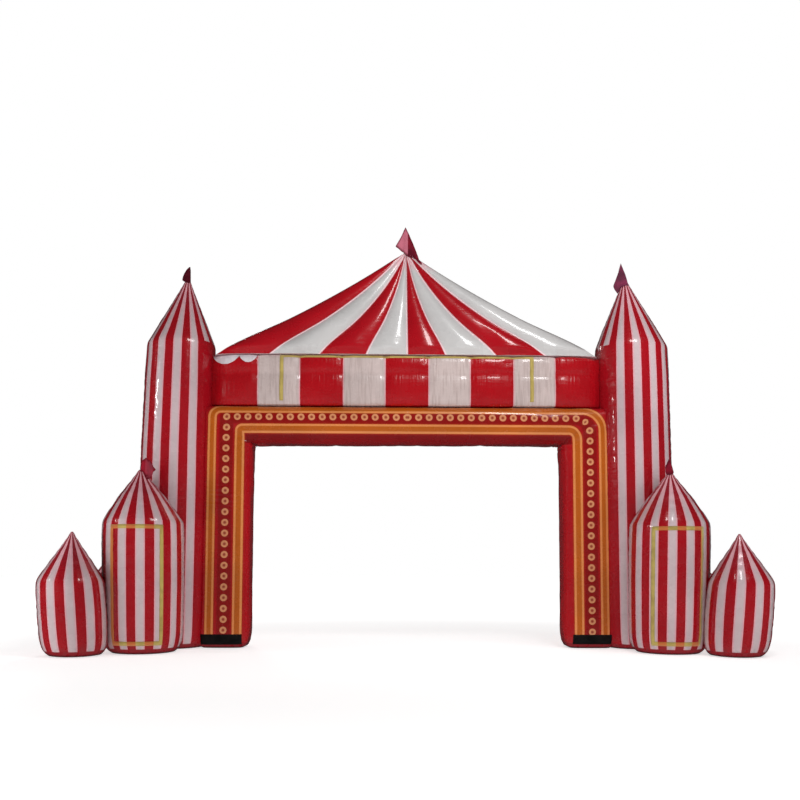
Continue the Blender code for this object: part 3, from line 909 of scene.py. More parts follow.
@dataclass
class Tower:
    """One tower where it stands."""

    name: str
    pattern: TowerPattern
    x: float
    y: float
    white_at: float  # compass turn of a white panel's middle, in degrees
    lean: float = 0.0
    against: tuple[str, ...] = ()
    foot_in: float = 0.0  # how far its foot stands in towards the walkway
    tilt: float = 0.0  # how far its eave has moved to the right
    red_within: float = 0.0  # degrees from the walkway's side, below the eave
    piece: bpy.types.Object | None = None

    TILTS_FROM = 0.65  # share of the eave's height

    def stand(self, cloth: bpy.types.Object) -> bpy.types.Object:
        """Sets a copy of the pattern's cloth in its place.

        Args:
            cloth: The puffed-up cloth of its pattern.

        Returns:
            The piece.
        """
        bm = bmesh.new()
        bm.from_mesh(cloth.data)
        self.redden(bm)
        if (self.x > 0) != (self.y > 0):
            bmesh.ops.scale(bm, vec=(-1.0, 1.0, 1.0), verts=bm.verts)
            bmesh.ops.reverse_faces(bm, faces=bm.faces)
        turned = Matrix.Rotation(math.radians(self.white_at), 3, "Z")
        bmesh.ops.rotate(bm, cent=(0.0, 0.0, 0.0), matrix=turned, verts=bm.verts)
        for vert in bm.verts:
            vert.co.x += self.axis(vert.co.z)
            vert.co.y += self.y
        self.piece = into_object(self.name + "_cloth", bm)
        return self.piece

    def axis(self, z: float) -> float:
        """Where the tower's middle is at a height, along X."""
        eave = self.pattern.eave
        foot = -math.copysign(self.foot_in, self.x) * max(0.0, 1.0 - z / eave)
        body = self.tilt * min(1.0, max(0.0, (z / eave - self.TILTS_FROM) / (1.0 - self.TILTS_FROM)))
        return self.x + foot + body + self.lean * max(0.0, z - eave) / (self.pattern.apex - eave)

    def tip(self) -> Point:
        """The middle of its tip."""
        return (self.axis(self.pattern.apex), self.y, self.pattern.apex)

    def redden(self, bm: bmesh.types.BMesh) -> None:
        """Turns the white panels beside the portal red, as its margin is."""
        layer = bm.loops.layers.uv[PANEL_MAP]
        flip = -1.0 if (self.x > 0) != (self.y > 0) else 1.0
        for face in bm.faces:
            number = math.floor(face.loops[0][layer].uv.x) - 100
            turn = flip * number * 360.0 / self.pattern.panels + self.white_at
            away = abs((turn + math.copysign(90.0, self.x) + 180.0) % 360.0 - 180.0)
            if number % 2 == 0 and away < self.red_within and face.calc_center_median().z < self.pattern.eave:
                for loop in face.loops:
                    loop[layer].uv.x += 1.0


def fit_against(piece: bpy.types.Object, neighbours: Sequence[bpy.types.Object]) -> None:
    """Shapes a chamber round the ones that it is sewn against, with a thin gap."""
    for neighbour in neighbours:
        mesh = neighbour.data.copy()
        grown = bpy.data.objects.new("grown", mesh)
        points = coordinates(mesh)
        normals = np.empty(len(mesh.vertices) * 3, np.float32)
        mesh.vertices.foreach_get("normal", normals)
        points += normals.reshape(-1, 3) * FITTED_GAP
        points[:, 2] = np.where(points[:, 2] < 0.002, points[:, 2] - 0.05, points[:, 2])
        mesh.vertices.foreach_set("co", points.astype(np.float32).ravel())
        mesh.update()
        bpy.context.scene.collection.objects.link(grown)
        cut = piece.modifiers.new("fitted", "BOOLEAN")
        cut.operation, cut.solver, cut.object = "DIFFERENCE", "EXACT", grown
        bpy.context.view_layer.update()
        applied(piece)
        bpy.data.objects.remove(grown)
        bpy.data.meshes.remove(mesh)
    piece.data.set_sharp_from_angle(angle=math.radians(38.0))


# ---------------------------------------------------------------- portal
@dataclass(frozen=True)
class PrintLine:
    """A printed line that follows the opening at a distance and rounds its upper corners."""

    left_off: float
    right_off: float
    top_off: float
    left_corner: float
    right_corner: float
    half: float = 0.055  # half the width of a double line
    rim: float = 0.026  # width of each of its two lighter edges


@dataclass
class Portal:
    """The walk-through gate: one inflated tube in an upside-down U, with a printed front."""

    leg_width: float = 0.638
    lintel_height: float = 0.45
    half_depth: float = 0.23
    squareness: float = 5.0
    around: int = 72
    row_step: float = 0.045
    right_wider: float = 0.022  # how much further out the right leg stands
    lintel_rise: tuple[float, float] = (0.008, 0.020)  # of its underside, at the left and at the right
    fan: int = 11  # rows from the mitre to the straight part, on each side of it
    foot: tuple[tuple[float, float], ...] = ((0.0, 0.085), (0.02, 0.045), (0.07, 0.014), (0.15, 0.0))

    OPENING_HALF = 1.832
    OPENING_HEIGHT = 2.40
    LINES = (PrintLine(0.135, 0.187, 0.168, 0.03, 0.10), PrintLine(0.456, 0.489, 0.403, 0.10, 0.24, 0.050))
    LAMPS = PrintLine(0.289, 0.334, 0.306, 0.001, 0.1575)
    LAMP_PITCHES = (0.1247, 0.1246)
    LAMP_RADIUS = 0.042
    LAMP_FLOOR = 0.150
    RIGHT_LAMPS_HIGHER = 0.0135
    FAN_FOOT = 0.12  # metres from the opening's corner where the fan of rows starts
    SEAMS = (0.045, 0.955)  # shares across the tube
    MITRE_SLOPE = 0.726  # of the seam that runs out of each upper corner
    PUFF = 0.012  # how far the middle of its front stands out
    SLOW_WAVE = 0.004
    EDGE_PUCKER = (0.0025, 0.16)  # metres, and the share across the tube where it ends
    CORNER_FOLDS = (0.005, 0.32, 9.0)  # metres, their reach, and how many there are in a full turn
    GROUND_HELD = 0.03
    TOP_HELD = 0.02

    def section(self) -> list[tuple[float, float]]:
        """(across, depth) round the tube, with across 0 at the walkway and depth -1 at the front."""
        line = []
        power = 2.0 / self.squareness
        for i in range(self.around):
            angle = 2.0 * math.pi * (i + 0.5) / self.around
            c, s = math.cos(angle), math.sin(angle)
            line.append(
                (0.5 - 0.5 * math.copysign(abs(c) ** power, c), math.copysign(abs(s) ** power, s))
            )
        closed = [(a * self.leg_width, d * self.half_depth) for a, d in [*line, line[0]]]
        even = even_steps(closed, 1e-3)
        picked = [even[round(i * (len(even) - 1) / self.around)] for i in range(self.around)]
        return [(a / self.leg_width, d / self.half_depth) for a, d in picked]

    def stations(self) -> list[tuple[str, float]]:
        """The rows in order: up the left leg, over the lintel, down the right leg.

        A row is named for its side and its part, with its height, its place along the lintel or its
        share of the way to the mitre.
        """
        low = [z for z, _ in self.foot]
        top = self.OPENING_HEIGHT - self.FAN_FOOT
        heights = low + list(np.linspace(low[-1], top, round((top - low[-1]) / self.row_step) + 1))[1:]
        fan = [i / self.fan for i in range(1, self.fan)]
        span = self.OPENING_HALF - self.FAN_FOOT
        left = [("left leg", z) for z in heights] + [("left fan", f) for f in fan] + [("left mitre", 1.0)]
        left += [("left spread", f) for f in reversed(fan)]
        xs = np.linspace(-span, span, 2 * round(span / self.row_step) + 1)
        across = [("top lintel", float(x)) for x in xs]
        right = [(kind.replace("left", "right"), at) for kind, at in reversed(left)]
        return left + across + right

    def point(self, station: tuple[str, float], across: float, depth: float) -> Point:
        """One point of the tube, at the front where depth is -1."""
        (side, part), at = station[0].split(), station[1]
        puff = self.PUFF * max(0.0, 1.0 - (2.0 * across - 1.0) ** 2)
        y = depth * self.half_depth + math.copysign(puff * smooth_step((abs(depth) - 0.6) / 0.35), depth)
        sign = -1.0 if side == "left" else 1.0
        edge_x = self.OPENING_HALF + (self.right_wider if side == "right" else 0.0)
        edge_z = self.OPENING_HEIGHT + self.lintel_rise[1 if side == "right" else 0]
        if part == "lintel":
            share = smooth_step(at / self.OPENING_HALF * 0.5 + 0.5)
            edge_z = self.OPENING_HEIGHT + self.lintel_rise[0] * (1.0 - share) + self.lintel_rise[1] * share
        corner_x = edge_x + across * self.leg_width
        corner_z = edge_z + across * (self.OPENING_HEIGHT + self.lintel_height - edge_z)
        if part == "lintel":
            return (at, y, corner_z)
        if part == "mitre":
            return (sign * corner_x, y, corner_z)
        if part == "fan":
            start = edge_z - self.FAN_FOOT
            return (sign * corner_x, y, start + at * (corner_z - start))
        if part == "spread":
            start = edge_x - self.FAN_FOOT
            return (sign * (start + at * (corner_x - start)), y, corner_z)
        draw_in = float(np.interp(at, [z for z, _ in self.foot], [d for _, d in self.foot]))
        x = edge_x + draw_in + across * (self.leg_width - 2.0 * draw_in)
        return (sign * x, y * (1.0 - draw_in / self.half_depth), at)

    def cloth(self) -> Chamber:
        """The portal's cloth."""
        stations, section = self.stations(), self.section()
        bm, skin = extruded_rings(
            len(stations), self.around, lambda r, c: self.point(stations[r], *section[c % self.around])
        )
        panel_map = bm.loops.layers.uv.new(PANEL_MAP)
        seam_map = bm.loops.layers.uv.new(SEAM_MAP)

        def off_seam(vert: bmesh.types.BMVert) -> float:
            """The share across the tube between a point and the nearer long seam."""
            across, _ = section[vert[skin.column] % self.around]
            return min(abs(across - s) for s in self.SEAMS)

        for face in bm.faces:
            front = abs(face.normal.y) > 0.35
            for loop in face.loops:
                co = loop.vert.co
                across, depth = section[loop.vert[skin.column] % self.around]
                loop[panel_map].uv = (4.0 + across + (1.0 if depth > 0 else 0.0), abs(co.x) + co.z)
                seam = off_seam(loop.vert) * self.leg_width + (0.0 if front else 0.03)
                mitre = abs((abs(co.x) - self.OPENING_HALF) * self.MITRE_SLOPE - (co.z - self.OPENING_HEIGHT))
                loop[seam_map].uv = (min(seam, mitre), 1.0 if co.x > 0 else 3.0)
        for vert in bm.verts:
            self.crease(vert, *section[vert[skin.column] % self.around])
        top = self.OPENING_HEIGHT + self.lintel_height
        return as_chamber(
            "portal",
            bm,
            lambda vert: off_seam(vert) < 0.02,
            lambda co: co.z < self.GROUND_HELD or co.z > top - self.TOP_HELD,
        )

    def crease(self, vert: bmesh.types.BMVert, across: float, depth: float) -> None:
        """Adds the slow waves of taut cloth and the folds that run out of the upper corners."""
        if vert.co.z < self.GROUND_HELD:
            return
        x, z = abs(vert.co.x) - self.OPENING_HALF, vert.co.z - self.OPENING_HEIGHT
        on_leg = z < 0.0
        along, side = (vert.co.z, x) if on_leg else (vert.co.x, z)
        slow = self.SLOW_WAVE * ripple(along * 1.1, side * 2.0, 3.0 if vert.co.x > 0 else 8.0)
        size, ends = self.EDGE_PUCKER
        edge = max(0.0, 1.0 - min(across, 1.0 - across) / ends)
        fine = size * edge * ripple(along * 9.0, across * 2.0, depth)
        size, reach, count = self.CORNER_FOLDS
        folds = size * bell(math.hypot(x, z), reach) * math.sin(math.atan2(z, x) * count)
        vert.co += vert.normal * (slow + fine + folds)


# ---------------------------------------------------------------- band
@dataclass
class Band:
    """The strip of nine panels over the lintel, puffed out above and below a crease."""

    bottom: float = 2.8503
    height: float = 0.61
    half_depth: float = 0.25
    panel: float = 0.506
    full_panels: int = 7
    front: tuple[tuple[float, float], ...] = (
        (0.00, 0.000),
        (0.70, 0.000),
        (0.90, 0.020),
        (0.985, 0.10),
        (1.01, 0.22),
        (1.02, 0.36),
        (1.00, 0.48),
        (0.965, 0.56),
        (0.925, 0.615),
        (0.925, 0.645),
        (0.975, 0.685),
        (1.00, 0.725),
        (1.01, 0.80),
        (1.00, 0.90),
        (0.975, 0.955),
        (0.90, 0.988),
        (0.78, 0.999),
        (0.60, 1.000),
        (0.00, 1.000),
    )
    ends: tuple[tuple[float, float], ...] = (
        (1.771, 1.0),
        (1.86, 1.0),
        (2.02, 0.95),
        (2.14, 0.86),
        (2.23, 0.70),
        (2.36, 0.45),
    )
    row_step: float = 0.042
    half_ring: int = 34

    RED_MIDDLE = 11.0  # added to the panel numbers, which makes the middle panel red
    DRAWN_IN = ((0.085, 0.028), (0.02, 0.11))  # at a seam: shares of the depth, and metres where each fades
    NEAR_SEAM = 0.05  # metres from a seam where its puckers fade
    PUCKER = 0.004
    EDGE_DRAWN = 0.012  # how much lower its edges are at a seam, as a share of half the height
    SWAY = ((0.006, 2.3, 3.0), (0.003, 9.0, 7.0))  # slow waves: metres, and how close along and up
    EDGE_HELD = 0.015  # this close to its lower and upper edge the air can't move the cloth
    END_HELD = 2.25  # nor further out than this

    def profile(self) -> list[tuple[float, float]]:
        """(depth, height) in metres up the front, from the middle of the base to the middle of the top."""
        corners = [(d * self.half_depth, h * self.height) for d, h in self.front]
        line = softened(even_steps(corners, 0.006), 4)
        return even_steps(line, (sum(math.dist(a, b) for a, b in zip(line, line[1:]))) / self.half_ring)

    def seam_share(self, x: float) -> tuple[float, float]:
        """(panel number and share, metres from the nearest seam) at x."""
        share = x / self.panel + self.full_panels / 2.0 + 1.0
        last = self.full_panels + 2.0
        share = min(last - 1e-3, max(1e-3, share))
        inside = 1.0 < share < last - 1.0
        away = abs(share - round(share)) * self.panel
        return share, away if inside or away < 0.2 else 0.5

    def cloth(self) -> Chamber:
        """The band's cloth."""
        up = self.profile()
        half = self.full_panels * self.panel / 2.0
        steps = round(self.panel / self.row_step)
        xs = list(np.linspace(-half, half, self.full_panels * steps + 1))
        end = list(np.linspace(half, self.ends[-1][0], 15))[1:]
        xs = [-x for x in reversed(end)] + xs + end
        front, back = up, up[1:-1][::-1]
        around = len(front) + len(back)

        def place(row: int, column: int) -> Point:
            """A point of the ring at one station."""
            x = xs[row]
            depth, rise = (front + back)[column % around]
            side = -1.0 if column % around < len(front) else 1.0
            share, away = self.seam_share(x)
            low = depth * float(np.interp(abs(x), *zip(*self.ends)))
            pinch = 1.0 - sum(size * math.exp(-away / fades) for size, fades in self.DRAWN_IN)
            waves = enumerate(self.SWAY)
            sway = sum(size * ripple(x * a, rise * b, side + 5.0 * n) for n, (size, a, b) in waves)
            near = math.exp(-away / self.NEAR_SEAM)
            pucker = self.PUCKER * near * ripple(round(share) * 5.1, rise * 34.0, side)
            free = smooth_step(depth / (0.6 * self.half_depth))
            mid = self.height / 2.0
            draw = 1.0 - self.EDGE_DRAWN * near * abs(rise - mid) / mid
            z = self.bottom + mid + (rise - mid) * (draw if free > 0 else 1.0)
            return (x, side * (low * pinch + (sway + pucker) * free), z)

        bm, skin = extruded_rings(len(xs), around, place)
        runs = running_length(front)

        def along(column: int) -> float:
            """Metres up the front or the back at a column."""
            column %= around
            return runs[column] if column < len(front) else runs[around - column]

        skin.write_map(PANEL_MAP, lambda r, c: (self.RED_MIDDLE + self.seam_share(xs[r])[0], along(c)))
        skin.write_map(SEAM_MAP, lambda r, c: (self.seam_share(xs[r])[1], 1.7))
        self.crisp_colours(bm)
        low, high = self.bottom + self.EDGE_HELD, self.bottom + self.height - self.EDGE_HELD
        return as_chamber(
            "band",
            bm,
            lambda vert: self.seam_share(vert.co.x)[1] < 0.004,
            lambda co: co.z < low or co.z > high or abs(co.x) > self.END_HELD,
        )

    def crisp_colours(self, bm: bmesh.types.BMesh) -> None:
        """Keeps each face's panel number that of its own middle."""
        layer = bm.loops.layers.uv[PANEL_MAP]
        for face in bm.faces:
            number = math.floor(self.RED_MIDDLE + self.seam_share(face.calc_center_median().x)[0])
            for loop in face.loops:
                loop[layer].uv.x = number + inside_panel(loop[layer].uv.x - number)


# ---------------------------------------------------------------- roof
@dataclass
class Roof:
    """The shallow tent of eight gores at the front and eight at the back."""

    base: float = 3.4606
    apex: float = 4.765
    half_width: float = 2.34
    half_depth: float = 0.27
    tip: float = 0.035
    sag: float = 0.214
    flare: float = 0.55
    lean: float = -0.008  # of its tip, to the right
    bulge: float = 0.060
    seams: tuple[float, ...] = (-1.0, -0.692, -0.447, -0.205, 0.0, 0.198, 0.449, 0.705, 1.0)
    gore_columns: int = 10
    rows: int = 46

    SAG_FROM = 0.35  # share of the height where the hips' full sag starts
    TUCK = (0.025, 0.075)  # how far the eave draws in, and the share of the height where that ends
    SQUARENESS = 6  # of its plan
    FLATTER = (0.80, 0.75, 0.07)  # gores: at the tip, at the eave, and the share of the height for the last
    WAVE = 0.004
    BASE_HELD = 0.012  # the air can't move the cloth this close to the base, nor this close to the apex:
    TIP_HELD = 0.07

    def levels(self) -> list[float]:
        """Shares of the height, closer together at the eave."""
        return [(i / (self.rows - 1)) ** 1.25 for i in range(self.rows)]

    def marks(self) -> list[tuple[float, float, int]]:
        """(eave share, share across the gore, gore number) from the left hip to the right one."""
        found = []
        for number, (low, high) in enumerate(zip(self.seams, self.seams[1:])):
            for i in range(self.gore_columns):
                share = i / self.gore_columns
                found.append((low + (high - low) * share, share, number))
        return [*found, (self.seams[-1], 1.0, len(self.seams) - 2)]

    def point(self, mark: float, crown: float, level: float, front: bool) -> Point:
        """A point of one face.

        Args:
            mark: Its share of the half width at the eave.
            crown: How far it stands out between its seams, from 0 to 1.
            level: Its share of the height.
            front: Whether it is on the front.

        Returns:
            The point.
        """
        width = self.tip + (self.half_width - self.tip) * (1.0 - level)
        width -= self.sag * self.half_width * level * (1.0 - level) * smooth_step(level / self.SAG_FROM)
        depth = self.tip + (self.half_depth - self.tip) * (1.0 - level)
        tuck = self.TUCK[0] * (1.0 - smooth_step(level / self.TUCK[1])) ** 1.5
        share = mark * (1.0 - self.flare * level * (1.0 - abs(mark)))
        plan = max(0.0, 1.0 - abs(share) ** self.SQUARENESS) ** (1.0 / self.SQUARENESS)
        at_tip, at_eave, above = self.FLATTER
        stand = self.bulge * crown * (1.0 - at_tip * level) * min(1.0, plan * 1.5)
        stand *= 1.0 - at_eave * (1.0 - smooth_step(level / above))
        wave = self.WAVE * ripple(mark * 6.0, level * 5.0, 1.0 if front else 9.0)
        y = max(0.004, (depth - tuck) * plan + stand + wave * plan * (1.0 - level))
        x = share * (width - tuck * 0.1) + self.lean * level
        return (x, -y if front else y, self.base + level * (self.apex - self.base))

    def cloth(self) -> Chamber:
        """The roof's cloth."""
        marks, levels = self.marks(), self.levels()
        ring = [(m, s, n, True) for m, s, n in marks]
        ring += [(m, s, 15 - n, False) for m, s, n in reversed(marks[1:-1])]
        around = len(ring)

        def crown(share: float) -> float:
            """How far a gore stands out across its width, steep beside the seams."""
            return max(0.0, 1.0 - abs(2.0 * share - 1.0) ** 2.3)

        def place(row: int, column: int) -> Point:
            """A point of the ring at one level."""
            mark, share, _, front = ring[column % around]
            return self.point(mark, crown(share), levels[row], front)

        bm, skin = extruded_rings(len(levels), around, place)
        panel_map = bm.loops.layers.uv.new(PANEL_MAP)
        seam_map = bm.loops.layers.uv.new(SEAM_MAP)
        steps = self.gore_columns
        for face in bm.faces:
            columns = [loop.vert[skin.column] for loop in face.loops]
            closes = max(columns) - min(columns) > around / 2
            middle = sum(c + (around if closes and c < around / 2 else 0) for c in columns) / len(columns)
            number = int(middle // steps)
            for loop, column in zip(face.loops, columns):
                column += around if closes and column < around / 2 else 0
                share = inside_panel(column / steps - number)
                level = levels[loop.vert[skin.row]]
                width = 0.55 * (1.0 - level) + 0.02
                # Gores alternate all the way round, with red beside the left hip
                loop[panel_map].uv = (101.0 + number + share, (self.apex - loop.vert.co.z) * 1.9)
                loop[seam_map].uv = (min(share, 1.0 - share) * width, (number * 3.13) % 5.0)
        return as_chamber(
            "roof",
            bm,
            lambda vert: vert[skin.column] % steps == 0,
            lambda co: co.z < self.base + self.BASE_HELD or co.z > self.apex - self.TIP_HELD,
        )


# ---------------------------------------------------------------- thin pieces
PENNANT = 1.8  # a flag's width when flat, in parts of its area over its height
NO_SECOND = (-1.0, -1.0, 0.0)  # a flag's second colour, painted light on its lit flap: from and to in metres across, and the share there
# Outlines of flags: metres across, lowest and highest, counted from the tip that they hang on
KITE: Outline = (
    (-0.144, -0.063, -0.044),
    (-0.132, -0.097, -0.012),
    (-0.114, -0.131, 0.038),
    (-0.099, -0.154, 0.078),
    (-0.082, -0.116, 0.122),
    (-0.066, -0.084, 0.180),
    (-0.044, -0.071, 0.241),
    (-0.024, -0.063, 0.174),
    (-0.006, -0.058, 0.108),
    (0.011, -0.053, 0.037),
    (0.023, -0.053, -0.008),
    (0.032, -0.060, -0.048),
)
ONE_SIDED: Outline = (
    (-0.061, 0.007, 0.025),
    (-0.054, 0.001, 0.058),
    (-0.040, -0.010, 0.094),
    (-0.014, -0.024, 0.134),
    (0.008, -0.029, 0.157),
    (0.022, -0.029, 0.172),
    (0.032, -0.029, 0.170),
    (0.038, -0.026, 0.125),
    (0.043, -0.024, 0.007),
)
DRAPED: Outline = (
    (-0.126, 0.085, 0.100),
    (-0.102, 0.064, 0.142),
    (-0.067, 0.034, 0.208),
    (-0.029, 0.003, 0.295),
    (-0.008, -0.024, 0.337),
    (0.015, -0.044, 0.287),
    (0.040, -0.056, 0.236),
    (0.086, -0.063, 0.126),
    (0.116, -0.087, 0.044),
    (0.139, -0.117, -0.016),
    (0.162, -0.141, -0.073),
    (0.187, -0.159, -0.134),
)
CRUMPLED: Outline = (
    (0.006, -0.018, 0.006),
    (0.018, -0.020, 0.106),
    (0.034, -0.027, 0.117),
    (0.056, -0.057, 0.140),
    (0.075, -0.096, 0.117),
    (0.089, -0.111, 0.104),
    (0.102, -0.103, 0.111),
    (0.115, -0.092, 0.091),
    (0.129, -0.072, 0.068),
    (0.142, -0.023, 0.037),
    (0.155, -0.013, 0.021),
    (0.166, 0.001, 0.012),
)
SMALL: Outline = (
    (-0.059, 0.000, 0.057),
    (-0.054, -0.016, 0.080),
    (-0.040, -0.027, 0.094),
    (-0.028, -0.029, 0.126),
    (-0.015, -0.029, 0.155),
    (-0.002, -0.027, 0.130),
    (0.010, -0.022, 0.087),
    (0.022, -0.018, 0.039),
    (0.032, -0.009, 0.005),
)


class SewnOn:
    """A thin piece of cloth that follows the surface under it."""

    def __init__(
        self, name: str, columns: Sequence[float], rows: Sequence[float], lift: float = 0.0012
    ) -> None:
        """Keeps the grid that the piece is cut from.

        Args:
            name: The piece's name.
            columns: Stations across.
            rows: Stations up.
            lift: Metres off the surface.
        """
        self.name, self.columns, self.rows, self.lift = name, list(columns), list(rows), lift

    def cut(
        self,
        place: Callable[[float, float], tuple[Point, Point]],
        edge: Callable[[float, float], float],
        kept: Callable[[float, float], bool] = lambda c, r: True,
        thickness: float = 0.0016,
        second: Callable[[float, float], float] = lambda c, r: 0.0,
    ) -> bpy.types.Object:
        """Cuts the piece from a grid, sets it in place and gives it a thickness.

        Args:
            place: Gives a point on the surface and the way out of it, for a column and a row.
            edge: Metres from the piece's nearest edge.
            kept: Whether the cell round a column and a row stays.
            thickness: Of the cloth.
            second: The share of the cloth's second colour.

        Returns:
            The piece.
        """
        bm = bmesh.new()
        bmesh.ops.create_grid(bm, x_segments=len(self.columns) - 1, y_segments=len(self.rows) - 1, size=1.0)
        panel_map = bm.loops.layers.uv.new(PANEL_MAP)
        seam_map = bm.loops.layers.uv.new(SEAM_MAP)
        last_c, last_r = len(self.columns) - 1, len(self.rows) - 1

        def station(co: Vector) -> tuple[float, float]:
            """The column and the row that a point of the flat grid stands for."""
            c = min(last_c, max(0.0, (co.x + 1.0) / 2.0 * last_c))
            r = min(last_r, max(0.0, (co.y + 1.0) / 2.0 * last_r))
            return (
                float(np.interp(c, range(last_c + 1), self.columns)),
                float(np.interp(r, range(last_r + 1), self.rows)),
            )

        gone = [f for f in bm.faces if not kept(*station(f.calc_center_median()))]
        bmesh.ops.delete(bm, geom=gone, context="FACES")
        for face in bm.faces:
            for loop in face.loops:
                c, r = station(loop.vert.co)
                loop[panel_map].uv = (c, r)
                loop[seam_map].uv = (edge(c, r), second(c, r))
        for vert in bm.verts:
            spot, out = place(*station(vert.co))
            vert.co = Vector(spot) + Vector(out) * self.lift
        bmesh.ops.recalc_face_normals(bm, faces=bm.faces)
        facing = sum(Vector(place(*f.loops[0][panel_map].uv)[1]).dot(f.normal) for f in bm.faces)
        if facing < 0.0:
            bmesh.ops.reverse_faces(bm, faces=bm.faces)
        obj = into_object(self.name, bm)
        thick = obj.modifiers.new("cloth", "SOLIDIFY")
        thick.thickness, thick.offset = thickness, 1.0
        bpy.context.view_layer.update()
        applied(obj)
        return obj


def subdivided(low: float, high: float, step: float, marks: Iterable[float] = ()) -> list[float]:
    """Stations from low to high about one step apart, with the marks among them."""
    stops = sorted({low, high, *(m for m in marks if low < m < high)})
    found = [low]
    for a, b in zip(stops, stops[1:]):
        count = max(1, round((b - a) / step))
        found += [a + (b - a) * (i + 1) / count for i in range(count)]
    return found


@dataclass
class TowerTape:
    """A rectangle of hook tape on the front of a medium tower."""

    name: str
    tower: Tower
    tape: float = 0.045
    bottom: float = 0.10
    top: float = 1.396
    outboard: float = 35.0  # degrees from straight ahead, as is inboard
    inboard: float = 43.6

    def length(self) -> float:
        """Metres of tape round the rectangle."""
        across = math.radians(self.outboard + self.inboard) * self.tower.pattern.radius
        return 2.0 * (across + self.top - self.bottom) - 4.0 * self.tape

    def sew(self, surface: BVHTree) -> bpy.types.Object:
        """The tape on the tower's finished cloth."""
        radius = self.tower.pattern.radius
        side = 1.0 if self.tower.x > 0 else -1.0
        turns = sorted((side * self.outboard, -side * self.inboard))
        low, high = (math.radians(t) * radius for t in turns)
        panels = self.tower.pattern.panels
        width = 2.0 * math.pi * radius / panels
        first = math.radians(self.tower.white_at) * radius + width / 2.0
        seams = [first + n * width + off for n in range(-panels, panels) for off in (-0.002, 0.002)]
        columns = subdivided(low, high, 0.022, (low + self.tape, high - self.tape, *seams))
        rows = subdivided(self.bottom, self.top, 0.03, (self.bottom + self.tape, self.top - self.tape))

        def kept(c: float, r: float) -> bool:
            """Leaves the middle of the rectangle out."""
            inside = low + self.tape < c < high - self.tape
            return not (inside and self.bottom + self.tape < r < self.top - self.tape)

        def place(c: float, r: float) -> tuple[Point, Point]:
            """The tower's surface where a level ray from outside meets it."""
            angle = c / radius
            out = Vector((math.sin(angle), -math.cos(angle), 0.0))
            start = Vector((self.tower.axis(r), self.tower.y, r)) + out * 1.0
            spot, _, _, _ = surface.ray_cast(start, -out)
            return tuple(spot), tuple(out)

        def edge(c: float, r: float) -> float:
            """Metres from the nearest edge of the tape."""
            near = min(c - low, high - c, r - self.bottom, self.top - r)
            return min(near, abs(self.tape - near))

        def over_red(c: float, r: float) -> float:
            """1 where a red panel shows through the tape."""
            return float(math.floor((c - first) / width) % 2 == 0)

        return SewnOn(self.name, columns, rows).cut(place, edge, kept, second=over_red)


@dataclass
class BandTape:
    """Hook tape along the band's upper edge and down both ends of it."""

    name: str = "band_tape_cloth"
    half: float = 1.505
    tape: float = 0.045
    low: float = 2.90
    high: float = 3.452
    top_run: float = 0.034

    def sew(self, surface: BVHTree) -> bpy.types.Object:
        """The tape on the band's finished cloth."""
        columns = subdivided(-self.half, self.half, 0.03, (self.tape - self.half, self.half - self.tape))
        rows = subdivided(self.low, self.high, 0.018, (self.high - self.top_run,))

        def kept(c: float, r: float) -> bool:
            """Keeps the top run and both ends."""
            return abs(c) > self.half - self.tape or r > self.high - self.top_run

        def place(c: float, r: float) -> tuple[Point, Point]:
            """The band's front where a ray from the viewer's side meets it."""
            return tuple(front_of(surface, c, r)), (0.0, -1.0, 0.25)

        def edge(c: float, r: float) -> float:
            """Metres from the nearest edge of the tape."""
            near = min(self.half - abs(c), self.high - r)
            return max(0.0, min(near, abs(self.tape - near), r - self.low))

        return SewnOn(self.name, columns, rows).cut(place, edge, kept)


@dataclass
class FootPatch:
    """A black patch round the front of a foot."""

    name: str
    side: float
    inner: float
    outer: float
    low: float
    high: float = 0.162

    def sew(self, surfaces: Sequence[BVHTree]) -> bpy.types.Object:
        """The patch on the finished cloth of the portal and of the tower beside it."""
        ends = sorted((self.side * self.inner, self.side * self.outer))
        columns = subdivided(*ends, 0.02)
        rows = subdivided(self.low, self.high, 0.012)

        def place(c: float, r: float) -> tuple[Point, Point]:
            """The front that a ray from the viewer's side meets first."""
            found = [front_of(surface, c, r) for surface in surfaces]
            spot = min((point for point in found if point), key=lambda point: point.y)
            return tuple(spot), TO_VIEWER

        def edge(c: float, r: float) -> float:
            """Metres from the nearest edge of the patch."""
            return min(c - ends[0], ends[1] - c, r - self.low, self.high - r)

        return SewnOn(self.name, columns, rows).cut(place, edge)


@dataclass
class ScallopTrim:
    """White scallops that hang over the band's left end."""

    name: str = "scallop_trim_cloth"
    scallops: Outline = ((-2.31, -1.985, 0.115), (-1.985, -1.775, 0.10))
    top: float = 3.452
    least: float = 0.018

    def drop(self, x: float) -> float:
        """How far the trim hangs at x."""
        for start, end, depth in self.scallops:
            if start <= x <= end:
                arc = math.sin(math.pi * (x - start) / (end - start))
                return self.least + (depth - self.least) * max(0.0, arc) ** 0.7
        return self.least

    def sew(self, surface: BVHTree) -> bpy.types.Object:
        """The trim over the band's finished cloth."""
        cusps = [row[0] for row in self.scallops]
        columns = subdivided(self.scallops[0][0], self.scallops[-1][1], 0.012, cusps)
        rows = subdivided(0.0, 1.0, 0.125)

        def place(c: float, r: float) -> tuple[Point, Point]:
            """A point that follows the band's top and then hangs clear of its face."""
            z = self.top - r * self.drop(c)
            spot = front_of(surface, c, z)
            clear = 0.006 * smooth_step(r * 1.5) + 0.002 * r * math.sin(c * 90.0)
            return (spot.x, spot.y - clear, spot.z), TO_VIEWER

        def edge(c: float, r: float) -> float:
            """Metres from the loose edge."""
            return (1.0 - r) * self.drop(c)

        return SewnOn(self.name, columns, rows).cut(place, edge)


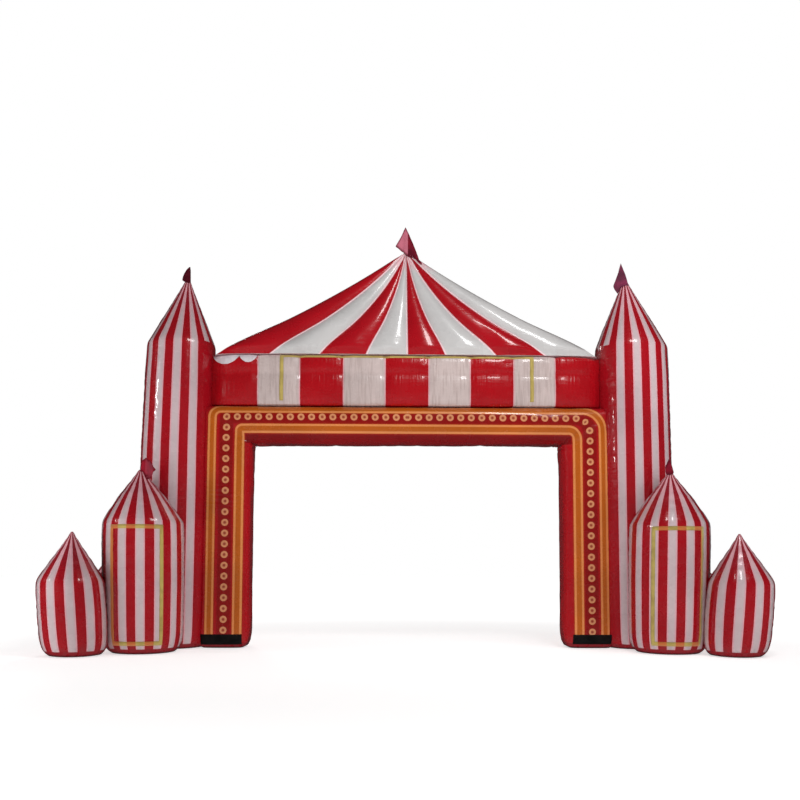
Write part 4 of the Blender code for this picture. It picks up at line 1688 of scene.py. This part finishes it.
@dataclass
class Flag:
    """A limp pennant that hangs over the tip of a tower or of the roof.

    Each row of its outline is (metres across, lowest, highest), counted from the tip.
    """

    name: str
    seat: Point
    outline: Outline
    root: float  # radius of the tip under it
    # Where the cloth shows painted light on a lit flap
    second: tuple[float, float, float] = NO_SECOND
    fold: float = 0.030

    ROOT_CLEAR = (0.008, 0.10)  # metres off the tip's side, and how far from the tip that fades
    LEAST_CLEAR = 0.003  # metres off the cloth behind it
    TIP_CLEAR = (0.010, 0.06)  # more metres off it at the tip, and how far from the tip that fades
    FOLDS_FROM = 0.10  # metres from the tip where its folds are full
    HEM = 0.016  # metres that the second colour leaves
    THICKNESS = 0.0022

    def span(self, c: float) -> tuple[float, float]:
        """The lowest and the highest point of the outline, c metres across."""
        reach = [row[0] for row in self.outline]
        low, high = (float(np.interp(c, reach, [row[i] for row in self.outline])) for i in (1, 2))
        return low, high

    def hang(self, surface: BVHTree) -> bpy.types.Object:
        """The flag's cloth, draped over the tip with its folds.

        Args:
            surface: The finished cloth under it.

        Returns:
            The piece.
        """
        reach = [row[0] for row in self.outline]
        columns = subdivided(reach[0], reach[-1], 0.008, reach)
        rows = subdivided(0.0, 1.0, 0.07)
        x0, y0, z0 = self.seat

        def place(c: float, r: float) -> tuple[Point, Point]:
            """A point of the cloth, clear of the surface behind it."""
            low, high = self.span(c)
            z = low + r * (high - low)
            away = math.hypot(c, z)
            fold = math.sin(c * 58.0 + 1.0) * 0.45 + ripple(c * 9.0, z * 9.0, x0) * 0.8
            clear, fades = self.ROOT_CLEAR
            y = y0 - (self.root + clear) * math.exp(-max(0.0, away - self.root) / fades)
            y -= (0.25 + fold * 0.5) * self.fold * smooth_step(away / self.FOLDS_FROM)
            spot = front_of(surface, x0 + c, z0 + z, y0 - VIEWER_SIDE + 0.02)
            if spot is not None:
                clear, fades = self.TIP_CLEAR
                y = min(y, spot.y - self.LEAST_CLEAR - clear * math.exp(-away / fades))
            return (x0 + c, y, z0 + z), TO_VIEWER

        def edge(c: float, r: float) -> float:
            """Metres from the hem."""
            low, high = self.span(c)
            return min(r, 1.0 - r) * (high - low)

        def other_colour(c: float, r: float) -> float:
            """The share of the cloth's second colour, painted light on a lit flap, away from the hem."""
            start, end, share = self.second
            return share * smooth_step(edge(c, r) / self.HEM) if start < c < end else 0.0

        cloth = SewnOn(self.name, columns, rows, lift=0.0)
        return cloth.cut(place, edge, thickness=self.THICKNESS, second=other_colour)


def flag_cloth(
    name: str, colour: Colour, shade: Colour, hem: float, second: Colour = BLACK
) -> bpy.types.Material:
    """The thin dull cloth of a flag, with its colours and the width of its darker hem."""
    cloth = PlainCloth(name, colour, shade, 0.75, 900.0, 0.00005, 0.006, second=second, shine=0.2, hem=hem)
    return cloth.build()


# ---------------------------------------------------------------- studio
@dataclass
class Studio:
    """A pale floor, soft light and the camera."""

    eye: Point = (-0.275, -10.164, 0.953)
    yaw: float = 1.131  # degrees towards +X
    pitch: float = 3.929  # degrees up
    roll: float = 0.158
    lens: float = 38.2
    shift_up: float = 0.135
    floor_glow: float = 0.62
    floor_fade: tuple[float, float] = (4.0, 9.0)  # metres out, where it starts and ends to brighten
    room: float = 0.17  # how bright the pale room is
    reflected: float = 0.025  # and how bright it is in reflections, as of a dark hall

    def floor(self) -> None:
        """A plain pale floor that fades into the light at its far edge."""
        bm = bmesh.new()
        bmesh.ops.create_circle(bm, segments=96, radius=60.0, cap_ends=True, cap_tris=True)
        bmesh.ops.translate(bm, vec=(0.0, 0.0, -0.001), verts=bm.verts)
        bench = ShaderBench("studio_floor")
        away = bench.add("VectorMath", {0: bench.place()}, "Value", operation="LENGTH")
        glow = bench.line(bench.fade(away, *self.floor_fade), self.floor_glow - 1.0, 1.0)
        bench.set({"Base Color": (0.86, 0.86, 0.86), "Roughness": 0.85})
        bench.set({"Emission Color": WHITE, "Emission Strength": glow})
        floor = into_object("studio_floor", bm)
        floor.data.materials.append(bench.material)
        floor.visible_glossy = False
        floor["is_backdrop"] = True

    @staticmethod
    def glow(tree: bpy.types.NodeTree, strength: float, colour: Colour) -> bpy.types.NodeSocket:
        """The output of one background shader."""
        node = tree.nodes.new("ShaderNodeBackground")
        node.inputs[0].default_value, node.inputs[1].default_value = (*colour, 1.0), strength
        return node.outputs[0]

    def lamp(
        self,
        name: str,
        spot: Point,
        aim: Point,
        size: tuple[float, float],
        watts: float,
        mirrored: bool = False,
    ) -> None:
        """One soft rectangular light, which shows in reflections only where it says so."""
        data = bpy.data.lights.new(name, "AREA")
        data.shape, data.size, data.size_y = "RECTANGLE", *size
        data.energy = watts
        lamp = bpy.data.objects.new(name, data)
        bpy.context.scene.collection.objects.link(lamp)
        lamp.location = spot
        lamp.visible_glossy = mirrored
        lamp.rotation_euler = (Vector(aim) - Vector(spot)).to_track_quat("-Z", "Y").to_euler()

    def light(self) -> None:
        """Overhead and side lights in a pale room."""
        world = bpy.data.worlds.new("studio")
        bpy.context.scene.world = world
        world.use_nodes = True
        tree = world.node_tree
        tree.nodes.clear()
        out = tree.nodes.new("ShaderNodeOutputWorld")
        path = tree.nodes.new("ShaderNodeLightPath")
        shader = self.glow(tree, self.room, (1.0, 0.98, 0.97))
        for ray, strength in (("Is Glossy Ray", self.reflected), ("Is Camera Ray", 1.0)):
            mix = tree.nodes.new("ShaderNodeMixShader")
            tree.links.new(path.outputs[ray], mix.inputs[0])
            tree.links.new(shader, mix.inputs[1])
            tree.links.new(self.glow(tree, strength, WHITE), mix.inputs[2])
            shader = mix.outputs[0]
        tree.links.new(shader, out.inputs[0])
        self.lamp("overhead", (4.6, -4.8, 8.0), (0.8, 0.0, 3.6), (3.0, 1.6), 98.0)
        self.lamp("front_left", (-6.8, -3.6, 1.2), (-3.0, 0.0, 0.9), (2.0, 2.0), 60.0)
        self.lamp("front_right", (8.5, -7.0, 2.2), (2.0, 0.0, 1.0), (2.0, 2.5), 46.0)
        self.lamp("rear", (0.0, 8.0, 7.0), (0.0, 0.0, 2.0), (8.0, 3.0), 140.0)
        self.lamp("side_right", (7.6, -5.0, 6.8), (3.4, 0.0, 1.2), (0.8, 0.8), 22.0)
        for name, spot, size, watts in (
            ("ceiling_middle", (2.3, -4.8, 7.2), 1.5, 105.0),
            ("ceiling_left", (-9.6, -3.6, 4.6), 0.6, 36.0),
            ("ceiling_rear", (-3.5, 5.5, 6.8), 1.0, 60.0),
        ):
            self.lamp(name, spot, (spot[0] * 0.5, 0.0, 1.2), (size, size), watts, mirrored=True)

    def camera(self) -> None:
        """The camera where the photograph was taken from."""
        data = bpy.data.cameras.new("camera")
        data.sensor_width, data.lens, data.shift_y = 36.0, self.lens, self.shift_up
        data.clip_end = 200.0
        camera = bpy.data.objects.new("camera", data)
        bpy.context.scene.collection.objects.link(camera)
        turned = (
            Matrix.Rotation(math.radians(-self.yaw), 4, "Z")
            @ Matrix.Rotation(math.radians(90.0 + self.pitch), 4, "X")
            @ Matrix.Rotation(math.radians(self.roll), 4, "Z")
        )
        camera.matrix_world = Matrix.Translation(self.eye) @ turned
        bpy.context.scene.camera = camera

    def set_up(self) -> None:
        """The whole studio."""
        self.floor()
        self.light()
        self.camera()
        scene = bpy.context.scene
        scene.view_settings.view_transform = "Standard"
        scene.view_settings.look = "None"


# ---------------------------------------------------------------- the arch
@dataclass
class Arch:
    """The whole object."""

    tall_left: TowerPattern = TowerPattern(
        "tall_left", 0.432, 0.4075, 0.422, 3.605, 4.400, 26, tip=0.032, bow=-0.009
    )
    tall_right: TowerPattern = TowerPattern(
        "tall_right", 0.445, 0.434, 0.436, 3.605, 4.440, 28, tip=0.032, bow=-0.004
    )
    medium: TowerPattern = TowerPattern("medium", 0.441, 0.443, 0.428, 1.440, 2.027, 28, tip=0.022, bow=0.012)
    small: TowerPattern = TowerPattern("small", 0.356, 0.350, 0.346, 0.790, 1.315, 22, tip=0.010, bow=-0.007)
    short: TowerPattern = TowerPattern("short", 0.345, 0.340, 0.318, 0.620, 1.085, 22, tip=0.010)
    portal: Portal = field(default_factory=Portal)
    band: Band = field(default_factory=Band)
    roof: Roof = field(default_factory=Roof)
    air: AirPressure = AirPressure()
    pieces: dict[str, bpy.types.Object] = field(default_factory=dict)
    towers_by_name: dict[str, Tower] = field(default_factory=dict)

    def towers(self) -> list[Tower]:
        """Every tower, the bigger ones first."""
        left, right = "tall_tower_left", "tall_tower_right"
        found = [
            Tower(left, self.tall_left, -2.737, 0.0, 6.8, 0.059, tilt=0.016, red_within=45.0),
            Tower(right, self.tall_right, 2.747, 0.0, -7.2, -0.061, tilt=-0.006, red_within=45.0),
        ]
        for y, row in ((-1.0, "front"), (1.0, "rear")):
            name = "medium_tower_" + row + "_"
            found.append(Tower(name + "left", self.medium, -2.963, y * 0.60, 10.9, -0.042, (left,), 0.033))
            found.append(Tower(name + "right", self.medium, 2.974, y * 0.60, -14.1, 0.017, (right,), 0.045))
        for y, row in ((-1.0, "front"), (1.0, "rear")):
            name = "small_tower_" + row + "_"
            by_left, by_right = (("medium_tower_" + row + "_" + side,) for side in ("left", "right"))
            found.append(Tower(name + "left", self.small, -3.618, y * 0.975, 16.4, 0.0, by_left, 0.070))
            found.append(Tower(name + "right", self.small, 3.612, y * 0.978, -21.5, 0.0, by_right, 0.075))
        found.append(Tower("short_tower_left", self.short, -3.50, 0.0, 0.0, 0.0, (left,)))
        found.append(Tower("short_tower_right", self.short, 3.50, 0.0, 0.0, 0.0, (right,)))
        return found

    def keep(self, obj: bpy.types.Object, node: str, slot: str, finish: bpy.types.Material) -> None:
        """Dresses a piece, lets it stand for its node and reports it."""
        obj.data.materials.clear()
        obj.data.materials.append(finish)
        obj.data.polygons.foreach_set("material_index", np.zeros(len(obj.data.polygons), np.int32))
        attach(obj, "root")
        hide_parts(node)
        self.pieces[node] = obj
        LOG.info("%s: %d faces", obj.name, len(obj.data.polygons))

    def chambers(self) -> None:
        """The inflated pieces."""
        striped = CoatedCloth(
            "striped_vinyl", Layout.PANELS, blush=0.6, crumples=((-2.60, -0.42, 1.74, 0.20),)
        ).build()
        roofing = CoatedCloth(
            "roof_vinyl",
            Layout.PANELS,
            red=from_screen(182, 10, 26),
            white=from_screen(214, 212, 211),
            pink_reach=0.014,
            # Light seam lines: partly the seam's own pale edge, partly a painted highlight along its ridge
            seam=from_screen(252, 222, 226),
            seam_shade=1.0,
            seam_half=0.012,
            pucker=0.0022,
            blush=0.55,
            muted=from_screen(124, 22, 44),
        ).build()
        banding = CoatedCloth(
            "band_vinyl",
            Layout.PANELS,
            red=from_screen(182, 8, 22),
            white=from_screen(214, 196, 192),
            gather=0.007,
        ).build()
        printed = CoatedCloth(
            "portal_vinyl",
            Layout.PRINT,
            red=from_screen(184, 12, 24),
            seam_shade=0.15,
            crumples=((-2.17, -0.24, 1.76, 0.24),),
        ).build()
        patterns = (self.tall_left, self.tall_right, self.medium, self.small, self.short)
        cloths = {pattern.name: pattern.cloth() for pattern in patterns}
        cloths |= {"portal": self.portal.cloth(), "band": self.band.cloth(), "roof": self.roof.cloth()}
        self.air.run({obj: held for obj, held in cloths.values()})
        self.towers_by_name = {tower.name: tower for tower in self.towers()}
        for tower in self.towers_by_name.values():
            tower.stand(cloths[tower.pattern.name][0])
        by_name = {name: tower.piece for name, tower in self.towers_by_name.items()}
        for tower in self.towers_by_name.values():
            fit_against(tower.piece, [by_name[name] for name in tower.against])
            self.keep(tower.piece, tower.name, "striped_vinyl", striped)
        for name, slot, finish in (
            ("portal", "portal_vinyl", printed),
            ("band", "striped_vinyl", banding),
            ("roof", "striped_vinyl", roofing),
        ):
            piece = cloths[name][0]
            piece.name = name + "_cloth"
            fit_against(piece, [by_name["tall_tower_left"], by_name["tall_tower_right"]])
            self.keep(piece, name, slot, finish)
        for pattern in patterns:
            bpy.data.objects.remove(cloths[pattern.name][0])

    def lay(
        self,
        piece: bpy.types.Object,
        node: str,
        slot: str,
        finish: bpy.types.Material,
        under: bpy.types.Object,
    ) -> None:
        """Keeps a sheet.

        Args:
            piece: The sheet.
            node: The node that it stands for.
            slot: Its material slot; not used.
            finish: Its material.
            under: What it rests on; not used.
        """
        self.keep(piece, node, slot, finish)

    def sewn_on(self) -> None:
        """The tapes, the patches and the trim."""
        tape = PlainCloth(
            "hook_tape",
            from_screen(200, 178, 96),
            from_screen(172, 150, 76),
            roughness=0.8,
            threads=450.0,
            thread_height=0.00012,
            edge_stitch=0.004,
            sheen=0.3,
            second=from_screen(206, 108, 46),
        ).build()
        patch = PlainCloth(
            "foot_patch",
            (0.004, 0.003, 0.003),
            (0.010, 0.007, 0.007),
            roughness=0.72,
            threads=700.0,
            thread_height=0.00006,
            edge_stitch=0.006,
        ).build()
        trim = PlainCloth(
            "trim_vinyl",
            from_screen(228, 220, 224),
            from_screen(206, 196, 202),
            roughness=0.42,
            threads=900.0,
            thread_height=0.00003,
            edge_stitch=0.008,
            coat=0.2,
        ).build()
        for side in ("left", "right"):
            tower = self.towers_by_name["medium_tower_front_" + side]
            frame_tape = TowerTape("tower_tape_" + side + "_cloth", tower)
            piece = frame_tape.sew(tree_of(tower.piece))
            flat = (frame_tape.length(), frame_tape.tape)
            self.lay(piece, "tape_tower_" + side, "hook_tape", tape, tower.piece)
        band = self.pieces["band"]
        self.lay(BandTape().sew(tree_of(band)), "tape_band", "hook_tape", tape, band)
        portal = self.pieces["portal"]
        left = FootPatch("foot_patch_left_cloth", -1.0, 1.910, 2.384, 0.042)
        right = FootPatch("foot_patch_right_cloth", 1.0, 1.946, 2.396, 0.050)
        for node, black in (("foot_patch_left", left), ("foot_patch_right", right)):
            tower = self.towers_by_name[node.replace("foot_patch", "tall_tower")]
            piece = black.sew([tree_of(portal), tree_of(tower.piece)])
            flat = (black.outer - black.inner, black.high - black.low)
            self.lay(piece, node, "foot_patch", patch, portal)
        piece = ScallopTrim().sew(tree_of(band))
        self.lay(piece, "scallop_trim", "trim_vinyl", trim, band)

    def flags(self) -> None:
        """The limp pennants on the tips."""
        # Painted light on the flap of a flag that faces the lamps
        lit_flap_pink = from_screen(224, 132, 152)
        crimson = flag_cloth("flag_cloth", from_screen(146, 18, 42), from_screen(92, 10, 30), 0.050, lit_flap_pink)
        # A darker copy of the crimson cloth: painted shade for the limp flag on the tall left tower
        dark = flag_cloth("flag_cloth_shaded", from_screen(86, 4, 24), from_screen(56, 2, 16), 0.0)
        # Mauve flag cloth, for the flag on the tall right tower
        mauve = flag_cloth("flag_cloth_mauve", from_screen(132, 48, 78), from_screen(92, 42, 60), 0.020)
        bright = flag_cloth(
            "flag_cloth_bright", from_screen(170, 26, 48), from_screen(112, 10, 30), 0.030, lit_flap_pink
        )
        roof_tip = (self.roof.lean, 0.0, self.roof.apex)
        left, right, middle = self.tall_left.tip, self.tall_right.tip, self.medium.tip
        specs = [
            ("flag_roof", roof_tip, DRAPED, self.roof.tip, "roof", crimson, (-0.120, 0.016, 0.75)),
            ("flag_tall_left", None, ONE_SIDED, left, "tall_tower_left", dark, NO_SECOND),
            ("flag_tall_right", None, KITE, right, "tall_tower_right", mauve, NO_SECOND),
        ]
        medium = "medium_tower_"
        seen = (0.05, 0.14, 0.12)
        specs.append(("flag_medium_front_left", None, CRUMPLED, middle, medium + "front_left", bright, seen))
        for row in ("front_right", "rear_left", "rear_right"):
            specs.append(("flag_medium_" + row, None, SMALL, middle, medium + row, crimson, NO_SECOND))
        for node, seat, outline, root, under, cloth, second in specs:
            seat = seat or self.towers_by_name[under].tip()
            piece = Flag(node + "_cloth", seat, outline, root, second).hang(tree_of(self.pieces[under]))
            area = sum(face.area for face in piece.data.polygons) / 2.0
            height = max(row[2] for row in outline) - min(row[1] for row in outline)
            flat = (PENNANT * area / height, height)
            self.lay(piece, node, "flag_cloth", cloth, self.pieces[under])

    def build(self) -> None:
        """Makes every piece."""
        self.chambers()
        self.sewn_on()
        self.flags()


def report_size() -> None:
    """Writes the solids' box and the dressed model's box."""
    low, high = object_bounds()
    dressed, solids = ([round(x, 3) for x in box] for box in (high - low, CAD_BOX[1] - CAD_BOX[0]))
    LOG.info("size %s, solids %s", dressed, solids)


def main() -> None:
    """Builds the arch in its studio."""
    logging.basicConfig(level=logging.INFO, format="%(name)s: %(message)s", stream=sys.stdout)
    Studio().set_up()
    Arch().build()
    report_size()


if __name__ == "__main__":
    main()
